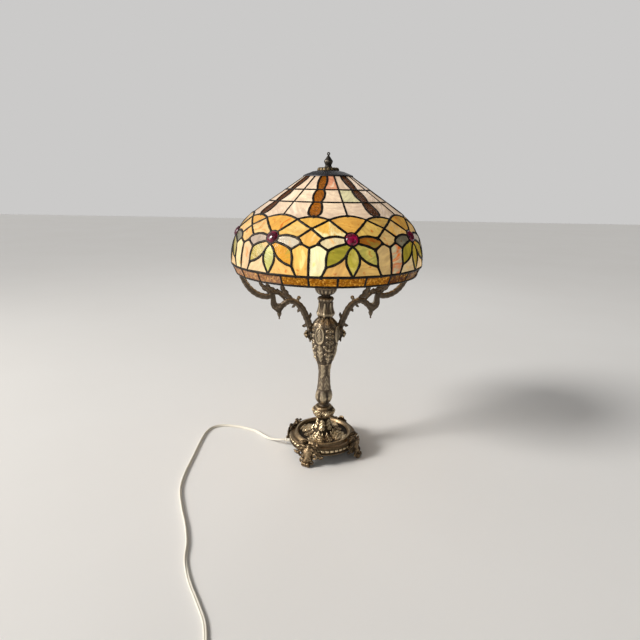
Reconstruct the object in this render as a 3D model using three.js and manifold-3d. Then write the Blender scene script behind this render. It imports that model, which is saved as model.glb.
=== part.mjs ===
// A leaded glass table lamp: a cast brass stem on four scroll feet, two side arms, a shade of glass panels
// held by its cap on a central rod, two lampholders with bulbs, and a flat flex with a rocker switch and
// a plug.
// Millimetres, +Z up. The origin is on the surface the lamp stands on, on the axis of the stem.
// The lamp faces -Y, and +X is on the right of someone who looks at it from there.
import * as THREE from 'three';
import { mergeVertices } from 'three/addons/utils/BufferGeometryUtils.js';
import Module from 'manifold-3d';

const wasm = await Module();
wasm.setup();

// ---------------------------------------------------------------- driving dimensions
const GAP = 0.3; // between pieces that touch
const TURN = 2 * Math.PI;

const ROD_RADIUS = 5; // the hollow threaded rod that holds the whole lamp together
const ROD_BORE = 3.3;
const ROD_BOTTOM = 16;
const ROD_TOP = 622;
const STUD_RADIUS = 3; // the hollow stud in the rod's top, which the shade and the finial go over
const STUD_BORE = 1.6;
const STUD_BOTTOM = 610;
const STUD_TOP = 640;
const BORE = ROD_RADIUS + GAP; // the hole in each piece that is threaded on the rod

const SECTORS = 8; // the glass pattern repeats eight times round the shade
const SECTOR_TURN = TURN / SECTORS;
const FLOWER_ANGLE = THREE.MathUtils.degToRad(-77.2); // the jewel that faces the front
const GLASS = 3; // thickness of the glass with its lead
const SHADE_RADIUS = 200;
const PANEL_TOP = [47.2, 620];
const SHOULDER = [153.4, 546.6]; // where the white cone meets the amber belly
const RIM_TOP = 446;
const RIM_BOTTOM = 425.5;
const RIM_BOTTOM_RADIUS = 190.5;
const JEWEL_RADIUS = 12;
const JEWEL_HEIGHT = 510.8;
const SHADE_STEPS = 48;

const FOOT_ANGLES = [-115, -25, 65, 155].map(THREE.MathUtils.degToRad);
const ARM_ANGLES = { left: THREE.MathUtils.degToRad(186), right: THREE.MathUtils.degToRad(6) };
const LAMP_ANGLES = [-100, 80].map(THREE.MathUtils.degToRad);
const LAMP_RISE = THREE.MathUtils.degToRad(40); // how far each lampholder points up from level

const CORD_WIDTH = 6; // flat twin flex
const COIL_RADIUS = 36; // to the middle of its turns
const COIL_CENTRE = [14, -581];
const COIL_HALF_WIDTH = 6.6;
const COIL_HEIGHT = 7.2;
const GLAND_ANGLE = THREE.MathUtils.degToRad(178);
const GLAND_HEIGHT = 17;
const GLAND_END = 92;
const SWITCH_AT = [-88, -549, 7.4];
const SWITCH_SIZE = [62, 24, 14.4];
const PLUG_AT = [70, -545, 7.2];

// ---------------------------------------------------------------- materials
const finish = (color, roughness, metalness) => () => (
  new THREE.MeshStandardMaterial({ color, roughness, metalness })
);
const antiqueBrass = finish(0x57493f, 0.45, 1);
const brightBrass = finish(0xa58e69, 0.4, 1);
const steel = finish(0x9a9a98, 0.4, 1);
const darkCap = finish(0x2e2d30, 0.5, 1);
const whiteGlass = finish(0xd4baa1, 0.15, 0);
const amberGlass = finish(0xdaad63, 0.15, 0);
const rimGlass = finish(0xa76e1c, 0.2, 0);
const rubyGlass = finish(0x6d1932, 0.05, 0);
const bulbGlass = finish(0xfff2d8, 0.3, 0);
const whitePlastic = finish(0xf2efe6, 0.45, 0);
const blackPlastic = finish(0x222222, 0.5, 0);

// ---------------------------------------------------------------- tools
const lamp = new THREE.Group();

function add(name, geometry, material, place = () => {}) {
  const mesh = new THREE.Mesh(geometry, material());
  mesh.name = name;
  place(mesh);
  lamp.add(mesh);
}

// Turns a closed outline of [radius, height] points about Z. The outline runs up the outside and down the
// inside, or starts and ends on the axis.
function turned(outline, steps = 18) {
  const closed = outline[0][0] === 0 ? outline : [...outline, outline[0]];
  const points = closed.map(([radius, height]) => new THREE.Vector2(radius, height));
  return new THREE.LatheGeometry(points, steps).rotateX(Math.PI / 2);
}

// A turned piece with a hole for the rod down its middle.
function bored(outside, steps) {
  const bottom = outside[0][1];
  const top = outside.at(-1)[1];
  return turned([...outside, [BORE, top], [BORE, bottom]], steps);
}

function shape(points) {
  return new THREE.Shape(points.map(([x, y]) => new THREE.Vector2(x, y)));
}

// A flat outline of [radius, height] points stood up on edge, its thickness centred on the XZ plane.
function plate(outline, thickness) {
  const options = { depth: thickness, bevelEnabled: false, curveSegments: 6 };
  return new THREE.ExtrudeGeometry(outline, options).translate(0, 0, -thickness / 2).rotateX(Math.PI / 2);
}

// A tube of an oval section along a smooth curve through the points.
function tube(points, steps, halfWidth, halfHeight, sides) {
  const section = new THREE.Shape();
  for (let i = 0; i < sides; i += 1) {
    const turn = (i / sides) * TURN;
    const corner = [halfHeight * Math.cos(turn), halfWidth * Math.sin(turn)];
    if (i === 0) section.moveTo(...corner);
    else section.lineTo(...corner);
  }
  section.closePath();
  const line = new THREE.CatmullRomCurve3(points.map((point) => new THREE.Vector3(...point)));
  return new THREE.ExtrudeGeometry(section, { steps, bevelEnabled: false, extrudePath: line });
}

function solid(geometry) {
  const bare = geometry.clone();
  bare.deleteAttribute('normal');
  bare.deleteAttribute('uv');
  const merged = mergeVertices(bare, 1e-3);
  return new wasm.Manifold(new wasm.Mesh({
    numProp: 3,
    vertProperties: new Float32Array(merged.getAttribute('position').array),
    triVerts: new Uint32Array(merged.getIndex().array),
  }));
}

function geometryOf(body) {
  const { numProp, vertProperties, triVerts } = body.getMesh();
  const corners = vertProperties.length / numProp;
  const places = new Float32Array(corners * 3);
  for (let i = 0; i < corners; i += 1) {
    places.set(vertProperties.subarray(i * numProp, i * numProp + 3), i * 3);
  }
  const geometry = new THREE.BufferGeometry();
  geometry.setAttribute('position', new THREE.BufferAttribute(places, 3));
  geometry.setIndex(new THREE.BufferAttribute(new Uint32Array(triVerts), 1));
  return geometry;
}

const joined = (...pieces) => geometryOf(pieces.map(solid).reduce((whole, piece) => whole.add(piece)));
const cut = (from, ...pieces) => (
  geometryOf(pieces.map(solid).reduce((whole, piece) => whole.subtract(piece), solid(from)))
);

const about = (angle) => (mesh) => {
  mesh.rotation.z = angle;
};

// ---------------------------------------------------------------- base
function foot() {
  const leg = plate(shape([
    [62, 29], [70, 37], [79, 37], [84.5, 30], [86.5, 18], [91, 10], [97, 7], [97, 0], [83, 0],
    [80.5, 8], [77, 17], [70, 23], [62, 25],
  ]), 18);
  const scroll = new THREE.ExtrudeGeometry(shape([
    [-27, 33], [27, 33], [25, 22], [17, 12], [10, 5], [-10, 5], [-17, 12], [-25, 22],
  ]), { depth: 6, bevelEnabled: false }).rotateX(Math.PI / 2).rotateZ(Math.PI / 2).translate(76, 0, 0);
  return [leg, scroll];
}

function baseCasting() {
  const dish = bored([
    [68, 37.5], [71.5, 26], [75, 23.5], [80, 25.5], [81, 29], [78.5, 35], [77.5, 40], [74, 43.5],
    [69, 42.5], [66.5, 46], [63.2, 47.6], [60, 46], [56, 41.5], [42, 43.5], [30, 48], [22, 55.7],
  ], 36);
  const feet = FOOT_ANGLES.flatMap((angle) => foot().map((piece) => piece.rotateZ(angle)));
  const under = turned([
    [0, 20], [66, 20], [66.5, 36], [54, 37.5], [40, 38.5], [27, 43], [16, 48], [0, 48],
  ], 36);
  return cut(joined(dish, ...feet), under, turned([[0, 40], [BORE, 40], [BORE, 60], [0, 60]]));
}

add('base_casting', baseCasting(), brightBrass);
add('base_plate', turned([[65, 27.2], [65, 29.2], [BORE, 29.2], [BORE, 27.2]], 36), steel);

function hexNut() {
  const outline = shape([0, 1, 2, 3, 4, 5].map((corner) => (
    [9.8 * Math.cos(corner * TURN / 6), 9.8 * Math.sin(corner * TURN / 6)]
  )));
  outline.holes.push(new THREE.Path().absarc(0, 0, BORE, 0, TURN, true));
  return new THREE.ExtrudeGeometry(outline, { depth: 6.5, bevelEnabled: false, curveSegments: 12 });
}
add('rod_nut', hexNut(), steel, (mesh) => { mesh.position.z = 19; });
add('lock_washer', turned([[10, 25.8], [10, 26.9], [BORE, 26.9], [BORE, 25.8]]), steel);

add('tie_rod', turned([
  [ROD_RADIUS, ROD_BOTTOM], [ROD_RADIUS, ROD_TOP], [ROD_BORE, ROD_TOP], [ROD_BORE, ROD_BOTTOM],
], 16), steel);
add('top_stud', turned([
  [STUD_RADIUS, STUD_BOTTOM], [STUD_RADIUS, STUD_TOP], [STUD_BORE, STUD_TOP], [STUD_BORE, STUD_BOTTOM],
], 16), steel);

// The sleeve that grips the flex under the base plate, with a saddle up to the plate.
function gland() {
  const sleeve = turned([
    [0, 58], [6, 58], [6, 74], [5, 78], [4.3, GLAND_END], [0, GLAND_END],
  ], 16).rotateY(Math.PI / 2).translate(0, 0, GLAND_HEIGHT);
  const saddle = new THREE.BoxGeometry(8, 9, 6.9).translate(62, 0, 23.45);
  return joined(sleeve, saddle);
}
add('cord_gland', gland(), whitePlastic, about(GLAND_ANGLE));

// ---------------------------------------------------------------- stem
add('base_collar', bored([[22.5, 56], [21.6, 59.7], [16.2, 71.4], [14.1, 80.4], [14.1, 81.2]]), brightBrass);
add('ball_knop', bored([
  [14.3, 81.5], [17.4, 85], [23.5, 89.7], [26.8, 98.6], [25.4, 104.5], [18.7, 111.2], [10.4, 112],
]), brightBrass);
add('baluster', bored([
  [10.4, 112.3], [10.4, 115.5], [12.6, 119], [17.3, 124.6], [20.4, 133.4], [19.9, 142], [17.1, 153.5],
  [15.5, 164.8], [13.8, 179], [14.1, 193], [15.3, 204], [16.6, 214.9],
]), antiqueBrass);
add('vase', turned([
  [16.8, 215.2], [20, 223.7], [25, 237.6], [27, 248.6], [29, 265], [31, 275], [30, 290], [27, 302],
  [19.6, 315], [13.3, 320.5], [13, 323],
  [BORE, 323], [BORE, 317], [13, 311], [22, 299], [25.5, 288], [26, 274], [23, 250], [20, 237.6],
  [13, 221], [BORE, 219], [BORE, 215.2],
]), antiqueBrass);
add('tulip_neck', bored([
  [12.6, 323.3], [16.7, 326.2], [20, 331], [19.1, 336], [15.4, 348], [14.6, 357.8], [17, 364.6], [16.5, 368],
  [9.6, 369.5],
]), antiqueBrass);
add('drip_cup', bored([
  [9.6, 369.8], [10.5, 372], [15.9, 374.7], [21.4, 379.5], [24.3, 385.5], [25, 391.5], [22.8, 391.5],
  [20.5, 384.5], [13, 380.5],
]), antiqueBrass);

// ---------------------------------------------------------------- side arms
// The arm's own plane: radius from the stem's axis, and height.
const ARM_FOOT = 32; // the arm's bracket starts this far from the axis, on the vase
const DROP_RADIUS = 100;

function arm() {
  const inPlane = (points) => points.map(([radius, height]) => [radius, 0, height]);
  const branch = tube(inPlane([
    [34, 296], [38.5, 313], [48, 334], [60, 350], [74, 357.5], [87, 355], [98, 347.5],
  ]), 12, 4.6, 4.6, 8);
  const bow = tube(inPlane([
    [112, 367], [130, 368.5], [149, 374.5], [164, 387], [175, 403], [184, 419],
  ]), 10, 4.2, 4.2, 8);
  const block = plate(shape([
    [94, 352], [98, 343.5], [102, 343.5], [114, 352], [116.5, 371.5], [109, 372.5], [106, 357],
  ]), 9);
  const leaf = plate(shape([
    [58, 354], [63, 363], [76, 371], [84, 378], [92, 392], [97, 382], [112, 389], [132, 389.5], [122, 382],
    [104, 376], [110, 366], [98, 368], [84, 364], [72, 356],
  ]), 5);
  const tip = plate(shape([
    [180, 416], [183, 424.8], [192, 424.8], [189, 416],
  ]), 7);
  const bracket = plate(shape([
    [ARM_FOOT, 268], [ARM_FOOT, 302], [36, 309], [43, 306], [44, 292], [41, 274], [37, 266],
  ]), 14);
  return joined(branch, bow, block, leaf, tip, bracket);
}

// The screws that clamp the arms show as flower heads on the brackets.
function flowerScrew() {
  return turned([[0, 44.4], [7.5, 44.4], [8, 46.5], [4, 49], [0, 49.5]], 16).rotateY(Math.PI / 2);
}

function drop() {
  return turned([
    [0, 319.8], [2.2, 322], [3.2, 326], [2.4, 329.5], [4.4, 335], [5, 341], [3.4, 343.2], [0, 343.2],
  ], 12).translate(DROP_RADIUS, 0, 0);
}

for (const [side, angle] of Object.entries(ARM_ANGLES)) {
  add(`arm_${side}`, arm(), antiqueBrass, about(angle));
  add(`arm_screw_${side}`, flowerScrew(), brightBrass, (mesh) => {
    mesh.rotation.z = angle;
    mesh.position.z = 281;
  });
  add(`arm_drop_${side}`, drop(), antiqueBrass, about(angle));
}

// ---------------------------------------------------------------- lampholders and bulbs
const HUB_HEIGHT = 448;
add('cluster_hub', bored([
  [9, 434], [15, 438], [16.5, 442], [16.5, 454], [15, 458], [9, 462],
]), brightBrass);

function alongLampholder(angle) {
  return (mesh) => {
    mesh.rotation.order = 'ZYX';
    mesh.rotation.z = angle;
    mesh.rotation.y = Math.PI / 2 - LAMP_RISE;
    mesh.position.z = HUB_HEIGHT;
  };
}
LAMP_ANGLES.forEach((angle, index) => {
  const holder = turned([
    [0, 25], [5, 25], [5, 29], [13, 33], [14.5, 40], [14.5, 68], [12.9, 68], [12.9, 50], [0, 50],
  ], 20);
  add(`lampholder_${index + 1}`, holder, whitePlastic, alongLampholder(angle));
  const bulb = turned([
    [0, 50.3], [12, 52.3], [12.4, 70], [16, 79], [21.5, 91], [22.5, 101], [20, 112], [12.5, 120], [0, 123],
  ], 20);
  add(`bulb_${index + 1}`, bulb, bulbGlass, alongLampholder(angle));
});
add('shade_seat', turned([
  [20, 622.3], [20, 625.4], [STUD_RADIUS + GAP, 625.4], [STUD_RADIUS + GAP, 622.3],
]), brightBrass);

// ---------------------------------------------------------------- shade
// The outside of the belly, from the shoulder down to the rim band, and the same line a glass thickness in.
const BELLY_OUT = [
  [SHADE_RADIUS, RIM_TOP + GAP], [SHADE_RADIUS, 464], [193.7, 491], [184.5, 511.8], [170.5, 531.8], SHOULDER,
];
const BELLY_IN = [
  [151.6, 544.2], [168.2, 529.8], [181.8, 510.4], [190.8, 490.1], [197, 463.8],
  [SHADE_RADIUS - GLASS, RIM_TOP + GAP],
];

// One eighth of a ring, less the gap to its neighbours. It is centred on +X.
function eighth(ring) {
  const half = SECTOR_TURN / 2;
  const reach = 2 * SHADE_RADIUS;
  const inset = GAP / 2 / Math.sin(half);
  const wedge = new THREE.ExtrudeGeometry(shape([
    [inset, 0], [reach, -(reach - inset) * Math.tan(half)], [reach, (reach - inset) * Math.tan(half)],
  ]), { depth: 300, bevelEnabled: false }).translate(0, 0, 400);
  return solid(ring).intersect(solid(wedge));
}

// The ring's own flats meet at the sector's edges.
const glassRing = (outline) => turned(outline, SHADE_STEPS).rotateZ(SECTOR_TURN / 2);
const SLOPE = Math.atan2(170.5 - 193.7, 531.8 - 491); // of the glass round the jewels, from upright
const JEWEL_FACE = 185.4; // radius of the glass surface at the middle of a jewel

function atJewel(geometry) {
  return geometry.rotateY(Math.PI / 2 + SLOPE).translate(JEWEL_FACE, 0, JEWEL_HEIGHT);
}

function bellyPanel() {
  const hole = atJewel(turned([[0, -12], [JEWEL_RADIUS, -12], [JEWEL_RADIUS, 12], [0, 12]], 12));
  return geometryOf(eighth(glassRing([...BELLY_OUT, ...BELLY_IN])).subtract(solid(hole)));
}

function conePanel() {
  const [topRadius, topHeight] = PANEL_TOP;
  const lowest = [SHOULDER[0] - 0.4, SHOULDER[1] + 0.4];
  return geometryOf(eighth(glassRing([
    lowest, [topRadius, topHeight], [topRadius - 1.7, topHeight - 2.5], [lowest[0] - 1.7, lowest[1] - 2.5],
  ])));
}

function jewel() {
  const edge = JEWEL_RADIUS - GAP;
  return atJewel(turned([[0, -2.5], [edge, -2.5], [edge, 1], [8.6, 3.8], [4, 5.2], [0, 5.6]], 12));
}

for (let sector = 0; sector < SECTORS; sector += 1) {
  const turn = about(FLOWER_ANGLE + sector * SECTOR_TURN);
  add(`cone_panel_${sector + 1}`, conePanel(), whiteGlass, turn);
  add(`belly_panel_${sector + 1}`, bellyPanel(), amberGlass, turn);
  add(`jewel_${sector + 1}`, jewel(), rubyGlass, turn);
}
add('rim_band', turned([
  [RIM_BOTTOM_RADIUS, RIM_BOTTOM], [SHADE_RADIUS, RIM_TOP], [SHADE_RADIUS - GLASS, RIM_TOP],
  [RIM_BOTTOM_RADIUS - GLASS, RIM_BOTTOM],
], SHADE_STEPS), rimGlass);

const CAP_BORE = STUD_RADIUS + 1.2;
add('shade_cap', turned([
  [50, 620.4], [50, 621.6], [38, 626], [24, 628.8], [CAP_BORE, 629.4], [CAP_BORE, 627.6], [23, 627.1],
  [37, 624.3], [47.6, 620.4],
], 24), darkCap);
add('rosette', turned([
  [21, 629.7], [22.4, 631.6], [21, 633.6], [12, 634.5], [CAP_BORE, 634.5], [CAP_BORE, 629.7],
], 24), brightBrass);
add('finial', turned([
  [0, 642], [CAP_BORE, 641], [CAP_BORE, 634.8], [7.4, 634.8], [7.4, 638], [6.4, 640], [6.8, 643], [8.8, 646.5],
  [7.6, 650], [4, 654], [2.5, 657], [3.6, 660], [3.4, 663], [0, 665],
], 12), darkCap);

// ---------------------------------------------------------------- flex, switch and plug
// The flex leaves the base on the left, turns round the table to the front and ends in a coil with its plug.
const beyondGland = (distance) => [
  (GLAND_END + distance) * Math.cos(GLAND_ANGLE), (GLAND_END + distance) * Math.sin(GLAND_ANGLE), GLAND_HEIGHT,
];
const CORD_ROUTE = [
  beyondGland(GAP), beyondGland(6), [-109, 5.6, 14.6], [-122, 14, 9], [-134, 29, 4.6], [-146, 45, 3.3],
  [-163, 63, 3.3], [-191, 78, 3.3], [-218, 88, 3.3], [-245, 93, 3.3], [-268, 90, 3.3], [-283, 79, 3.3],
  [-291, 60, 3.3], [-294, 37, 3.3], [-295, 9, 3.3], [-295, -56, 3.3], [-295, -122, 3.3], [-289, -173, 3.3],
  [-271, -225, 3.3], [-248, -279, 3.3], [-234, -321, 3.3], [-226, -359, 3.3], [-209, -399, 3.3],
  [-186, -438, 3.3], [-168, -470, 3.3], [-159, -500, 3.3], [-155, -518, 3.6], [-146, -536, 5],
  [-134, -545.5, 6.6], [-124, -548.6, 7.4],
  [SWITCH_AT[0] - SWITCH_SIZE[0] / 2 - GAP, SWITCH_AT[1], SWITCH_AT[2]],
];
const CORD_HALF = CORD_WIDTH / 2;
const flex = (points, steps) => tube(points, steps, CORD_HALF, CORD_HALF, 8);
// The flex meets the coil along the line that touches the middle of its turns at the top.
const coilLine = COIL_CENTRE[1] + COIL_RADIUS;
const coilReach = GAP + Math.sqrt((COIL_RADIUS + COIL_HALF_WIDTH) ** 2 - (COIL_RADIUS - CORD_HALF) ** 2);

add('cord_run', flex(CORD_ROUTE, 60), whitePlastic);
add('cord_link', flex([
  [SWITCH_AT[0] + SWITCH_SIZE[0] / 2 + GAP, SWITCH_AT[1], SWITCH_AT[2]], [-49, -549, 7], [-32, -546.4, 4],
  [COIL_CENTRE[0] - coilReach, coilLine, 3.3],
], 5), whitePlastic);
add('cord_coil', turned([
  [COIL_RADIUS + COIL_HALF_WIDTH, 0.2], [COIL_RADIUS + COIL_HALF_WIDTH, COIL_HEIGHT],
  [COIL_RADIUS - COIL_HALF_WIDTH, COIL_HEIGHT], [COIL_RADIUS - COIL_HALF_WIDTH, 0.2],
], 32), whitePlastic, (mesh) => mesh.position.set(...COIL_CENTRE, 0));
add('cord_tail', flex([
  [COIL_CENTRE[0] + coilReach, coilLine, 5], [62, PLUG_AT[1], PLUG_AT[2]],
  [PLUG_AT[0] - GAP, PLUG_AT[1], PLUG_AT[2]],
], 3), whitePlastic);

// The body of the flex switch, open on top for the rocker.
const ROCKER_SIZE = [20, 11, 9];
function switchBody() {
  const [length, width, height] = SWITCH_SIZE;
  const outline = shape([
    [-length / 2, -5], [-length / 2 + 8, -width / 2], [length / 2 - 8, -width / 2], [length / 2, -5],
    [length / 2, 5], [length / 2 - 8, width / 2], [-length / 2 + 8, width / 2], [-length / 2, 5],
  ]);
  const body = new THREE.ExtrudeGeometry(outline, { depth: height, bevelEnabled: false });
  const well = new THREE.BoxGeometry(ROCKER_SIZE[0] + 2, ROCKER_SIZE[1] + 1.2, 12);
  return cut(body.translate(0, 0, -height / 2), well.translate(0, 0, height / 2 - 2));
}
add('switch_body', switchBody(), whitePlastic, (mesh) => mesh.position.set(...SWITCH_AT));

// The rocker is a bent bar: one half of its top lies level while the other half stands up.
function rocker() {
  const [length, width] = ROCKER_SIZE;
  const outline = shape([
    [-length / 2, 2.6], [0, 1.9], [length / 2, 5.4], [length / 2 - 1, -1.5], [4, -3.4], [-4, -3.4],
    [-length / 2 + 1, -3],
  ].reverse());
  return plate(outline, width);
}
const ROCKER_AT = [SWITCH_AT[0], SWITCH_AT[1], SWITCH_AT[2] + 5.4];
add('switch_rocker', rocker(), blackPlastic, (mesh) => mesh.position.set(...ROCKER_AT));

// A flat two-pin plug that lies on its broad side, pins towards +X.
function plug() {
  const body = new THREE.ExtrudeGeometry(shape([
    [0, -4], [9, -6.5], [24, -13], [35, -13], [35, 13], [24, 13], [9, 6.5], [0, 4],
  ]), { depth: 13.6, bevelEnabled: false }).translate(0, 0, -6.8);
  const pins = [-9.5, 9.5].map((side) => (
    turned([[0, 34], [2, 34], [2, 52.6], [1.2, 54], [0, 54]], 10).rotateY(Math.PI / 2).translate(0, side, 0)
  ));
  return joined(body, ...pins);
}
add('plug', plug(), whitePlastic, (mesh) => mesh.position.set(...PLUG_AT));

export default lamp;
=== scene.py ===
import math
import random

import bpy
import numpy as np
from mathutils import Matrix, Vector, geometry, noise


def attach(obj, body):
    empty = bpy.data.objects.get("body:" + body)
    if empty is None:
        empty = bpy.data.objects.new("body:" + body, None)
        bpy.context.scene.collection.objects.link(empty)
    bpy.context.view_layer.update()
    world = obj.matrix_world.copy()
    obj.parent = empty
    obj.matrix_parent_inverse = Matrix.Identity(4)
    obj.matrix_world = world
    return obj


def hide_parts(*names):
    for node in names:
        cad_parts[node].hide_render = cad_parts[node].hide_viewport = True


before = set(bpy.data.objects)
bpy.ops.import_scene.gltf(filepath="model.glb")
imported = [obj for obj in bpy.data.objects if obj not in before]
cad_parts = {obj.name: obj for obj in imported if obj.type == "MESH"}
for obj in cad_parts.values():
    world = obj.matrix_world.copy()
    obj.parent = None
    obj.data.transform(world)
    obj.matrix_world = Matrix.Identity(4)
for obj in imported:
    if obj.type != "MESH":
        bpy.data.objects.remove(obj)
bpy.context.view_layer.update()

scene = bpy.context.scene
rng = random.Random(7)
MM = 0.001
TURN = 2 * math.pi
UP = Vector((0, 0, 1))

# ------------------------------------------------------------------ main sizes, in millimetres and degrees
SECTORS = 8
FLOWER_ANGLE = -77.2  # of the jewel that faces the front
STRIPE = 22.5  # from a flower to the brown stripes on each side of it
JEWEL_HEIGHT, JEWEL_RADIUS = 510.8, 12.0
BAND_TOP, BAND_BOTTOM = 446.0, 425.5
GLASS_DEEP = 2.6
LEAD_PROUD = 1.2
ARMS = {"left": 186.0, "right": 6.0}
FEET = (-115.0, -25.0, 65.0, 155.0)
ROD_HOLE = 5.3
HUB_HEIGHT = 448.0
BULBS, BULB_RISE, BULB_REACH = (-100.0, 80.0), math.radians(40), 82.0


# ------------------------------------------------------------------ small tools
def polar(degrees, radius, height):
    a = math.radians(degrees)
    return Vector((radius * math.cos(a), radius * math.sin(a), height))


def spline(points, per=6):
    """A smooth line through the points, with per steps between each two."""
    p = [Vector(x) for x in points]
    p = [2 * p[0] - p[1], *p, 2 * p[-1] - p[-2]]
    line = []
    for i in range(1, len(p) - 2):
        a, b, c, d = p[i - 1:i + 3]
        for k in range(per):
            t = k / per
            line.append(0.5 * ((2 * b) + (c - a) * t + (2 * a - 5 * b + 4 * c - d) * t * t
                               + (3 * b - a - 3 * c + d) * t ** 3))
    return [*line, p[-2]]


def eased(outline, per=3):
    return [(p.x, p.y) for p in spline(outline, per)]


def resampled(line, step):
    """The same line with points about one step apart."""
    reach = [0.0]
    for a, b in zip(line, line[1:]):
        reach.append(reach[-1] + (b - a).length)
    count = max(1, round(reach[-1] / step))
    made, k = [], 0
    for i in range(count + 1):
        at = reach[-1] * i / count
        while k < len(line) - 2 and reach[k + 1] < at:
            k += 1
        span = reach[k + 1] - reach[k]
        made.append(line[k].lerp(line[k + 1], (at - reach[k]) / span if span else 0.0))
    return made


def pairs(loop):
    """Each point of a closed loop with the next one."""
    return zip(loop, [*loop[1:], loop[0]])


def heading(line, i):
    """The direction of the line at its point i."""
    return (line[min(i + 1, len(line) - 1)] - line[max(i - 1, 0)]).normalized()


def facing(place, direction, up="Y"):
    """The matrix of a turned part at that place, with its axis in that direction."""
    return Matrix.Translation(place) @ direction.to_track_quat("Z", up).to_matrix().to_4x4()


def radial(azimuth, hand=1):
    """The directions out and across at that azimuth, and the place for (out, across, height) there."""
    out, side = polar(azimuth, 1, 0), polar(azimuth + 90, hand, 0)
    return out, side, lambda r, w, z: out * r + side * w + UP * z


def oval(half_width, half_height, sides):
    return [(half_width * math.cos(TURN * i / sides), half_height * math.sin(TURN * i / sides))
            for i in range(sides)]


def swell(x, middle, half):
    """1 at the middle, 0 half away from it and beyond."""
    t = abs(x - middle) / half
    return math.cos(t * math.pi / 2) ** 2 if t < 1 else 0.0


def placed(name, data):
    thing = bpy.data.objects.new(name, data)
    scene.collection.objects.link(thing)
    return thing


# The named values that vertices may carry: (type, field, the value where none is given).
VALUES = {"relief": ("FLOAT", "value", 0.0), "glow": ("FLOAT", "value", 0.0),
          "flow": ("FLOAT_VECTOR", "vector", (0, 0, 0)),
          "tint": ("FLOAT_COLOR", "color", (0, 0, 0, 1)), "accent": ("FLOAT_COLOR", "color", (0, 0, 0, 1))}


class Build:
    """A mesh under construction, in millimetres."""

    def __init__(self):
        self.verts, self.faces, self.values = [], [], {}

    def add(self, verts, faces, **values):
        """Adds vertices and faces. A value is a list with one for each vertex, or one for all of them."""
        start = len(self.verts)
        self.verts += [tuple(v) for v in verts]
        self.faces += [tuple(start + i for i in f) for f in faces]
        for name, value in values.items():
            kept = self.values.setdefault(name, [])
            kept += [VALUES[name][2]] * (start - len(kept))
            kept += value if isinstance(value, list) else [value] * len(verts)

    def piece(self, name, body, finish, slot, sharp, *nodes):
        """Makes the piece, which rides on the body and replaces the nodes."""
        mesh = bpy.data.meshes.new(name)
        mesh.from_pydata([[x * MM for x in v] for v in self.verts], [], self.faces)
        mesh.materials.append(finish.material)
        for key, given in self.values.items():
            kind, field, missing = VALUES[key]
            given = np.array(given + [missing] * (len(self.verts) - len(given)), np.float32)
            mesh.attributes.new(key, kind, "POINT").data.foreach_set(field, given.ravel())
        mesh.shade_smooth()
        if sharp:
            mesh.set_sharp_from_angle(angle=math.radians(sharp))
        mesh.validate()
        made = placed(name, mesh)
        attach(made, body)
        if nodes:
            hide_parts(*nodes)
        return made


def swept(build, line, normals, section, scales=None, closed=False, **values):
    """Sweeps a section of (side, up) points along the line. The ends are capped unless the line is closed."""
    n, k = len(line), len(section)
    verts, faces = [], []
    for i, (p, up) in enumerate(zip(line, normals)):
        before = line[i - 1] if i or closed else p
        after = line[(i + 1) % n] if i < n - 1 or closed else p
        side = (after - before).cross(up).normalized()
        wide, tall = scales[i] if scales else (1.0, 1.0)
        verts += [p + side * (x * wide) + up * (y * tall) for x, y in section]
    for i in range(n if closed else n - 1):
        for a, b in pairs(range(k)):
            faces.append((i * k + a, i * k + b, (i + 1) % n * k + b, (i + 1) % n * k + a))
    if not closed:
        faces += [tuple(reversed(range(k))), tuple((n - 1) * k + j for j in range(k))]
    build.add(verts, faces, **values)


def turned(build, outline, steps, place=None, relief=None, step=None, **values):
    """Turns an outline of (radius, height) points about Z. It goes up the outside, and closes on itself
    unless it starts and ends on the axis. relief(angle, radius, height) raises the surface."""
    line = [Vector(p) for p in outline]
    loop = line[0].x > 1e-6
    if step:
        line = resampled([*line, line[0]], step)[:-1] if loop else resampled(line, step)
    n = len(line)
    verts, faces, rings, heights = [], [], [], []
    for i, p in enumerate(line):
        before, after = line[i - 1 if i or loop else i], line[(i + 1) % n if i < n - 1 or loop else i]
        along = (after - before).normalized()
        corners = steps if p.x > 1e-6 else 1
        rings.append([len(verts) + j % corners for j in range(steps)])
        for j in range(corners):
            a = TURN * j / steps
            h = relief(a, p.x, p.y) if relief else 0.0
            r = p.x + along.y * h if corners > 1 else 0.0
            verts.append(Vector((r * math.cos(a), r * math.sin(a), p.y - along.x * h)))
            heights.append(h)
    for i in range(n if loop else n - 1):
        low, high = rings[i], rings[(i + 1) % n]
        for j, k in pairs(range(steps)):
            face = tuple(dict.fromkeys((low[j], low[k], high[k], high[j])))
            if len(face) > 2:
                faces.append(face)
    if place:
        verts = [place @ v for v in verts]
    if relief:
        values["relief"] = heights
    build.add(verts, faces, **values)


# ------------------------------------------------------------------ materials
def linear(colour):
    """Light values from screen values of 0 to 255."""
    parts = [c / 255 for c in colour]
    return tuple(x / 12.92 if x <= 0.04045 else ((x + 0.055) / 1.055) ** 2.4 for x in parts)


def shaded(colour, share):
    return tuple(c * share for c in colour)


class Signal:
    """A node's output. Its sums and products are the outputs of maths nodes."""

    def __init__(self, nodes, socket):
        self.nodes, self.socket = nodes, socket

    def maths(self, operation, a, b):
        return self.nodes.put("Math", "Value", {0: a, 1: b}, operation=operation)

    def __add__(self, other):
        return self.maths("ADD", self, other)

    def __mul__(self, other):
        return self.maths("MULTIPLY", self, other)

    def __rsub__(self, other):
        return self.maths("SUBTRACT", other, self)

    def ranged(self, low, high, to_low=0.0, to_high=1.0):
        """What lies between low and high, stretched to reach from to_low to to_high."""
        return self.nodes.put("MapRange", "Result", {"Value": self, "From Min": low, "From Max": high,
                                                     "To Min": to_low, "To Max": to_high}, clamp=True)


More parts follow.
